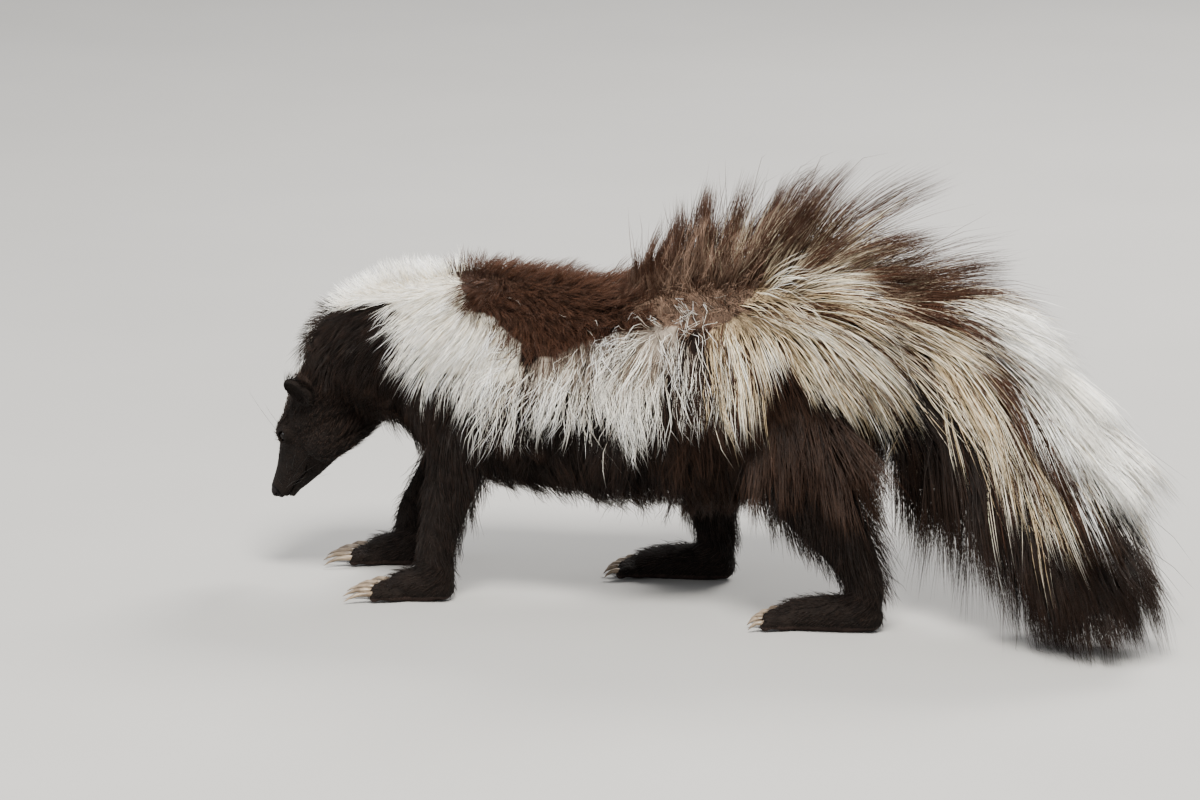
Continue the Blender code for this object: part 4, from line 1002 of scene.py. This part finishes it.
# Coat pieces: hairs, segments, half width in cm, wildness, unevenness of the locks' lengths, and each size
# of lock: its spacing in cm, its strength and its onset
FLANK = (5400, 5, 0.018, 1.9, 0.14, ((1.10, 0.60, 1.0), (0.42, 0.70, 1.0)))
RUMP = (5600, 4, 0.021, 1.2, 0.11, ((1.30, 0.50, 1.1), (0.48, 0.68, 1.1)))
TAIL_LOCKS = ((1.40, 0.45, 1.2), (0.50, 0.62, 1.2))
COAT = {
    "coat_head": (8400, 2, 0.016, 0.8, 0.05, ((0.30, 0.30, 1.2),)),
    "coat_neck": (9500, 3, 0.017, 1.0, 0.08, ((1.10, 0.30, 1.2), (0.45, 0.50, 1.2))),
    "coat_back": (7600, 3, 0.016, 1.2, 0.08, ((0.40, 0.45, 1.2),)),
    "coat_crest": (4800, 4, 0.020, 1.3, 0.18, ((1.30, 0.85, 0.75), (0.45, 0.45, 1.0))),
    "coat_flank_left": FLANK, "coat_flank_right": FLANK, "coat_rump_left": RUMP, "coat_rump_right": RUMP,
    "coat_tail_root": (5400, 4, 0.022, 1.0, 0.09, TAIL_LOCKS),
    "coat_tail_middle": (7200, 4, 0.022, 0.9, 0.09, TAIL_LOCKS),
    "coat_tail_end": (4000, 4, 0.021, 0.9, 0.09, TAIL_LOCKS),
    "coat_legs": (5600, 3, 0.018, 0.9, 0.10, ((0.90, 0.30, 1.2), (0.45, 0.50, 1.2))),
    "coat_paws": (3600, 2, 0.017, 0.9, 0.05, ((0.25, 0.30, 1.2),)),
}
COAT_PARTS = {"head": ON_HEAD, "tail": ON_TAIL, "legs": ON_LEG, "paws": ON_PAW}  # the others are on the torso
ROOT_DEPTH, UV_PATCH = 0.06, 0.003
HAIR_FLOOR, LONG_HAIR_FLOOR = 0.12, 0.14  # the lowest that hair hangs
FREE_REACH, BEND_BACK = 0.6, 0.88  # how far strays reach past the solids, and how much the rest is bent back


def coat_shares(points, part):
    """Which coat piece grows at each place."""
    x, left = points[:, 0], points[:, 1] < 0
    share, turn = nearest_on_tail(points)[0], turn_from_top(points)
    torso, tail = part == ON_TORSO, part == ON_TAIL
    back = torso & (x < 1.0) & (turn < 64) & (x >= -8.5)
    neck = torso & ~back & (x < -7.0)
    crest = torso & ~back & ~neck & (turn < 24)
    flank = torso & ~back & ~neck & ~crest & (x < 6.3 + 1.4 * ragged(points, 0.9))
    rump = torso & ~back & ~neck & ~crest & ~flank
    return {
        "coat_head": part == ON_HEAD, "coat_neck": neck, "coat_back": back, "coat_crest": crest,
        "coat_flank_left": flank & left, "coat_flank_right": flank & ~left,
        "coat_rump_left": rump & left, "coat_rump_right": rump & ~left,
        "coat_tail_root": tail & (share < 0.25), "coat_tail_middle": tail & (share >= 0.25) & (share < 0.65),
        "coat_tail_end": tail & (share >= 0.65), "coat_legs": part == ON_LEG, "coat_paws": part == ON_PAW,
    }


def coat_piece(name, surface, weight, tree):
    """Grows one piece of the coat where the weight of the skin's triangles is above nothing."""
    count, segments, half_width, wild, uneven, locks = COAT[name]
    points, normals = scatter(surface, weight, count)
    where = part_of(points)
    held = [leaders_of(points, spacing) for spacing, _, _ in locks]
    line, loose = grow(points, normals, where, segments, wild, held[0], uneven)
    for nearest, (_, strength, onset) in zip(held, locks):
        line = clump(line, loose, nearest, strength, onset)
    if segments > 2:
        line = wave(line, held[-1], 0.055 * segments * curliness(points, where), 1.0)
    if segments > 3:
        line = hold_in(keep_outside(line, tree, 0.10))
    line[..., 2] = np.maximum(line[..., 2], HAIR_FLOOR)
    dice = rng.random((len(points), 3))
    dice[:, 1] = dice[held[-1], 1] * 0.6 + dice[:, 1] * 0.4
    dice[:, 2] = dice[held[0], 2] * 0.5 + dice[:, 2] * 0.5
    kinds = pick_hairs(points, where, dice)
    widths = half_width * rng.uniform(0.7, 1.3, len(points))
    colours = hair_colours(line, kinds, held[-1])
    main_part = COAT_PARTS.get(name.split("_")[1], ON_TORSO)
    return coat_mesh(name, line, normals, widths, colours, unrolled(points, main_part))


def add_coat(skin):
    """Grows the coat over the whole skin, a piece at a time."""
    tree, surface = tree_of(skin), surface_arrays(skin)
    corners = surface[0][surface[2]]
    centres = corners.mean(axis=1)
    facing = unit(np.cross(corners[:, 1] - corners[:, 0], corners[:, 2] - corners[:, 0]))
    part = part_of(centres)
    furred = ~bare_places(centres, facing, part)
    share, ring = tail_marks(centres)
    top, below = stripe(ring, 52, 12) * ease(0.05, 0.15, share), ease(95, 120, np.abs(ring))
    thickness = 1 + (part == ON_TAIL) * (1.4 * top + 1.2 * below * (1 - ease(0.3, 0.6, share)))
    return [coat_piece(name, surface, (here & furred) * thickness, tree)
            for name, here in coat_shares(centres, part).items()]


def add_node(tree, kind, **values):
    """A shader node, with constant values on the sockets that are named with underscores for spaces."""
    node = tree.nodes.new("ShaderNode" + kind)
    for name, value in values.items():
        node.inputs[name.replace("_", " ")].default_value = value
    return node


def new_material(name, roughness, specular, bump):
    """A material with a fine relief, if any: the bump's scale, strength and distance."""
    material = bpy.data.materials.new(name)
    material.use_nodes = True
    tree = material.node_tree
    shader = tree.nodes["Principled BSDF"]
    shader.inputs["Roughness"].default_value = roughness
    shader.inputs["Specular IOR Level"].default_value = specular
    if bump:
        scale, strength, distance = bump
        relief = add_node(tree, "Bump", Strength=strength, Distance=distance)
        tree.links.new(noise_value(tree, scale, 5.0), relief.inputs["Height"])
        tree.links.new(relief.outputs["Normal"], shader.inputs["Normal"])
    return material, tree, shader.inputs["Base Color"]


def noise_value(tree, scale, detail=3.0):
    noise = add_node(tree, "TexNoise", Scale=scale, Detail=detail)
    tree.links.new(add_node(tree, "TexCoord").outputs["Object"], noise.inputs["Vector"])
    return noise.outputs["Fac"]


def tint_material(name, roughness, spread, scale, specular, bump=None):
    """A coat or skin colour from the piece's own markings, varied by a fine noise."""
    material, tree, base = new_material(name, roughness, specular, bump)
    tint = add_node(tree, "Attribute")
    tint.attribute_name = "tint"
    gain = add_node(tree, "MapRange", From_Min=0.3, From_Max=0.7, To_Min=1 - spread, To_Max=1 + spread)
    tree.links.new(noise_value(tree, scale), gain.inputs["Value"])
    mix = add_node(tree, "VectorMath")
    mix.operation = "SCALE"
    tree.links.new(tint.outputs["Color"], mix.inputs[0])
    tree.links.new(gain.outputs["Result"], mix.inputs["Scale"])
    tree.links.new(mix.outputs["Vector"], base)
    return material


def solid_material(name, dark, light, scale, roughness, specular, bump=None):
    """A colour that a fine noise varies between dark and light."""
    material, tree, base = new_material(name, roughness, specular, bump)
    blend = add_node(tree, "ValToRGB")
    for element, position, colour in zip(blend.color_ramp.elements, (0.35, 0.70), (dark, light)):
        element.position, element.color = position, (*colour, 1)
    tree.links.new(noise_value(tree, scale), blend.inputs["Fac"])
    tree.links.new(blend.outputs["Color"], base)
    return material


SOLID_MATERIALS = {
    "eye_wet": ((0.003, 0.002, 0.0015), (0.006, 0.0035, 0.0025), 300.0, 0.06, 0.16),
    "nose_leather": ((0.004, 0.003, 0.003), (0.008, 0.0055, 0.005), 420.0, 0.55, 0.10, (1500.0, 0.5, 0.0006)),
    "claw_horn": ((0.12, 0.085, 0.055), (0.30, 0.23, 0.16), 160.0, 0.38, 0.5, (700.0, 0.25, 0.0004)),
}
FLOOR_PAPER = ((0.34, 0.335, 0.325), (0.36, 0.355, 0.345), 3.0, 0.9, 0.2)
COAT_SLOTS = {"tail": "tail_coat", "flank": "long_coat", "rump": "long_coat", "crest": "long_coat"}


def dress(obj, material):
    obj.data.materials.clear()
    obj.data.materials.append(material)
    return obj


def place_on_frame(obj):
    """From the sculptor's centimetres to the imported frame's metres."""
    obj.data.transform(Matrix.Translation(Vector(SHIFT * CM)) @ Matrix.Scale(CM, 4))
    for face in obj.data.polygons:
        face.use_smooth = True
    return obj


def make_eyes(material):
    eyes = []
    for side, node in ((-1, "eye_left"), (1, "eye_right")):
        middle, out, along, over = eye_frame(side)
        eye = ball("eyeball" + node[3:], middle, (along, over, out), [EYE_RADIUS] * 3, 40, 28)
        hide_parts(node)
        eyes.append(dress(place_on_frame(eye), material))
    return eyes


def make_nose(material):
    forms = [head_ball(name, form, 1, 32, 20) for name, form in NOSE_FORMS.items()]
    forms += [head_ball("wing", NOSE_WING, side, 32, 20) for side in (-1, 1)]
    nose = melt(join("nose_pad", forms), NOSE_VOXEL, 3)
    for side in (-1, 1):
        for name, form in NOSE_CUTS.items():
            cut(nose, head_ball(name, form, side, 20, 12))
    cut(nose, head_ball("groove", NOSE_GROOVE, 1, 16, 10))
    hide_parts("nose")
    return dress(place_on_frame(nose), material)


def make_claws(material):
    claws = []
    for name in LEGS:
        length = CLAW_LENGTH[name[:4]]
        for root, way in toe_frames(name):
            base = root + way * 0.75 * TOE_LENGTH + UP * 0.12
            path = [base, base + way * 0.3 * length + UP * 0.05, base + way * 0.6 * length + UP * 0.02,
                    base + way * 0.85 * length - UP * 0.16, base + way * length - UP * 0.34]
            radii = CLAW_RADIUS * np.array([1.0, 0.95, 0.72, 0.40, 0.06])
            claws.append(round_tube("claw", path, radii, 10))
    return dress(place_on_frame(join("claws", claws)), material)


def make_whiskers(skin_tree, material):
    """Long stiff hairs from the sides of the muzzle, the brows and the chin."""
    roots, ways = [], []
    for side in (-1, 1):
        for row in range(3):
            for k in range(4):
                roots.append(on_head(1.0 + 0.34 * k, 0, -0.46 + 0.20 * row))
                ways.append((side, np.array([0.35 + 0.20 * k, side, -0.30 + 0.22 * row])))
        for k in range(2):
            roots.append(on_head(3.9 + 0.4 * k, side * 0.9, 1.0))
            ways.append((side, np.array([0.6, side * 0.8, 1.1])))
    lines, normals = [], []
    for root, (side, way) in zip(roots, ways):
        aim = HEAD_TURN @ unit(np.array([0, side, 0.9 if way[2] > 1 else -0.1]))
        hit, normal, _, _ = skin_tree.ray_cast(Vector(root), Vector(aim))
        if hit is None:
            continue
        way = HEAD_TURN @ unit(way + rng.normal(0, 0.08, 3))
        length = rng.uniform(2.0, 3.8)
        bend = HEAD_TURN[:, 0] * 0.35 - np.array([0, 0, 0.25])
        shares = np.linspace(0, 1, 9)
        line = np.array(hit) + way * length * shares[:, None] + bend * length * 0.4 * shares[:, None] ** 2
        line[0] -= way * 0.08
        lines.append(line)
        normals.append(np.array(normal))
    line = np.array(lines)
    colours = np.tile(np.array(WHISKER), (len(line), line.shape[1], 1))
    uv = rng.uniform(0.05, 0.95, (len(line), 2))
    piece = coat_mesh("whiskers", line, np.array(normals), np.full(len(line), 0.012), colours, uv)
    return dress(piece, material)


def build():
    skin = whole_skin()
    coat_material = tint_material("coat_hair", 0.50, 0.22, 260.0, 0.15)
    skin_material = tint_material("skin_and_underfur", 0.85, 0.35, 190.0, 0.12, (900.0, 0.6, 0.002))
    solids = {name: solid_material(name, *values) for name, values in SOLID_MATERIALS.items()}
    skin_tree = tree_of(skin)
    coat = [dress(piece, coat_material) for piece in add_coat(skin)]
    whiskers = make_whiskers(skin_tree, coat_material)
    add_tint(skin.data, skin_colours(vertex_values(skin.data.vertices, "co")))
    dress(place_on_frame(skin), skin_material)
    flesh = [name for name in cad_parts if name.split("_")[0] not in ("eye", "nose")]
    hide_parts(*flesh)
    eyes = make_eyes(solids["eye_wet"])
    nose = make_nose(solids["nose_leather"])
    claws = make_claws(solids["claw_horn"])
    slots = [(skin, "short_coat"), (whiskers, "short_coat"), (nose, "nose_skin"), (claws, "claw")]
    slots += [(eye, "eye") for eye in eyes]
    slots += [(piece, COAT_SLOTS.get(piece.name.split("_")[1], "short_coat")) for piece in coat]
    for piece, slot in slots:
        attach(piece, "root")


def light(name, place, target, size, power, colour):
    lamp = bpy.data.lights.new(name, "AREA")
    lamp.energy, lamp.size, lamp.color = power, size, colour
    obj = link(name, lamp)
    obj.location = place
    obj.rotation_euler = (Vector(target) - Vector(place)).to_track_quat("-Z", "Y").to_euler()


def set_stage():
    """Pale floor, soft light and the photograph's point of view."""
    bpy.ops.mesh.primitive_plane_add(size=FLOOR_SIZE)
    floor = bpy.context.object
    floor.name = "floor"
    dress(floor, solid_material("floor_paper", *FLOOR_PAPER))
    world = bpy.data.worlds.new("studio")
    world.use_nodes = True
    background = world.node_tree.nodes["Background"]
    background.inputs["Color"].default_value = SKY
    background.inputs["Strength"].default_value = SKY_POWER
    bpy.context.scene.world = world
    for name, values in LIGHTS.items():
        light(name, *values)
    target = (np.array(AIM) + SHIFT) * CM
    way = np.array([math.sin(AZIMUTH) * math.cos(ELEVATION), -math.cos(AZIMUTH) * math.cos(ELEVATION),
                    math.sin(ELEVATION)])
    lens = bpy.data.cameras.new("camera")
    lens.lens, lens.sensor_width, lens.clip_end = LENS, 36, 100
    camera = link("camera", lens)
    camera.location = Vector(target + way * DISTANCE)
    camera.rotation_euler = Vector(-way).to_track_quat("-Z", "Y").to_euler()
    bpy.context.scene.camera = camera


def frame_shift():
    """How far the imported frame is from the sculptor's, in centimetres, from the nose pad's place in both."""
    low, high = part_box("nose")
    middle = (np.array(low) + np.array(high)) / 2 / CM
    shift = middle - on_head(*NOSE_MIDDLE)
    shift[2] = 0
    return shift


SHIFT = frame_shift()
build()
set_stage()
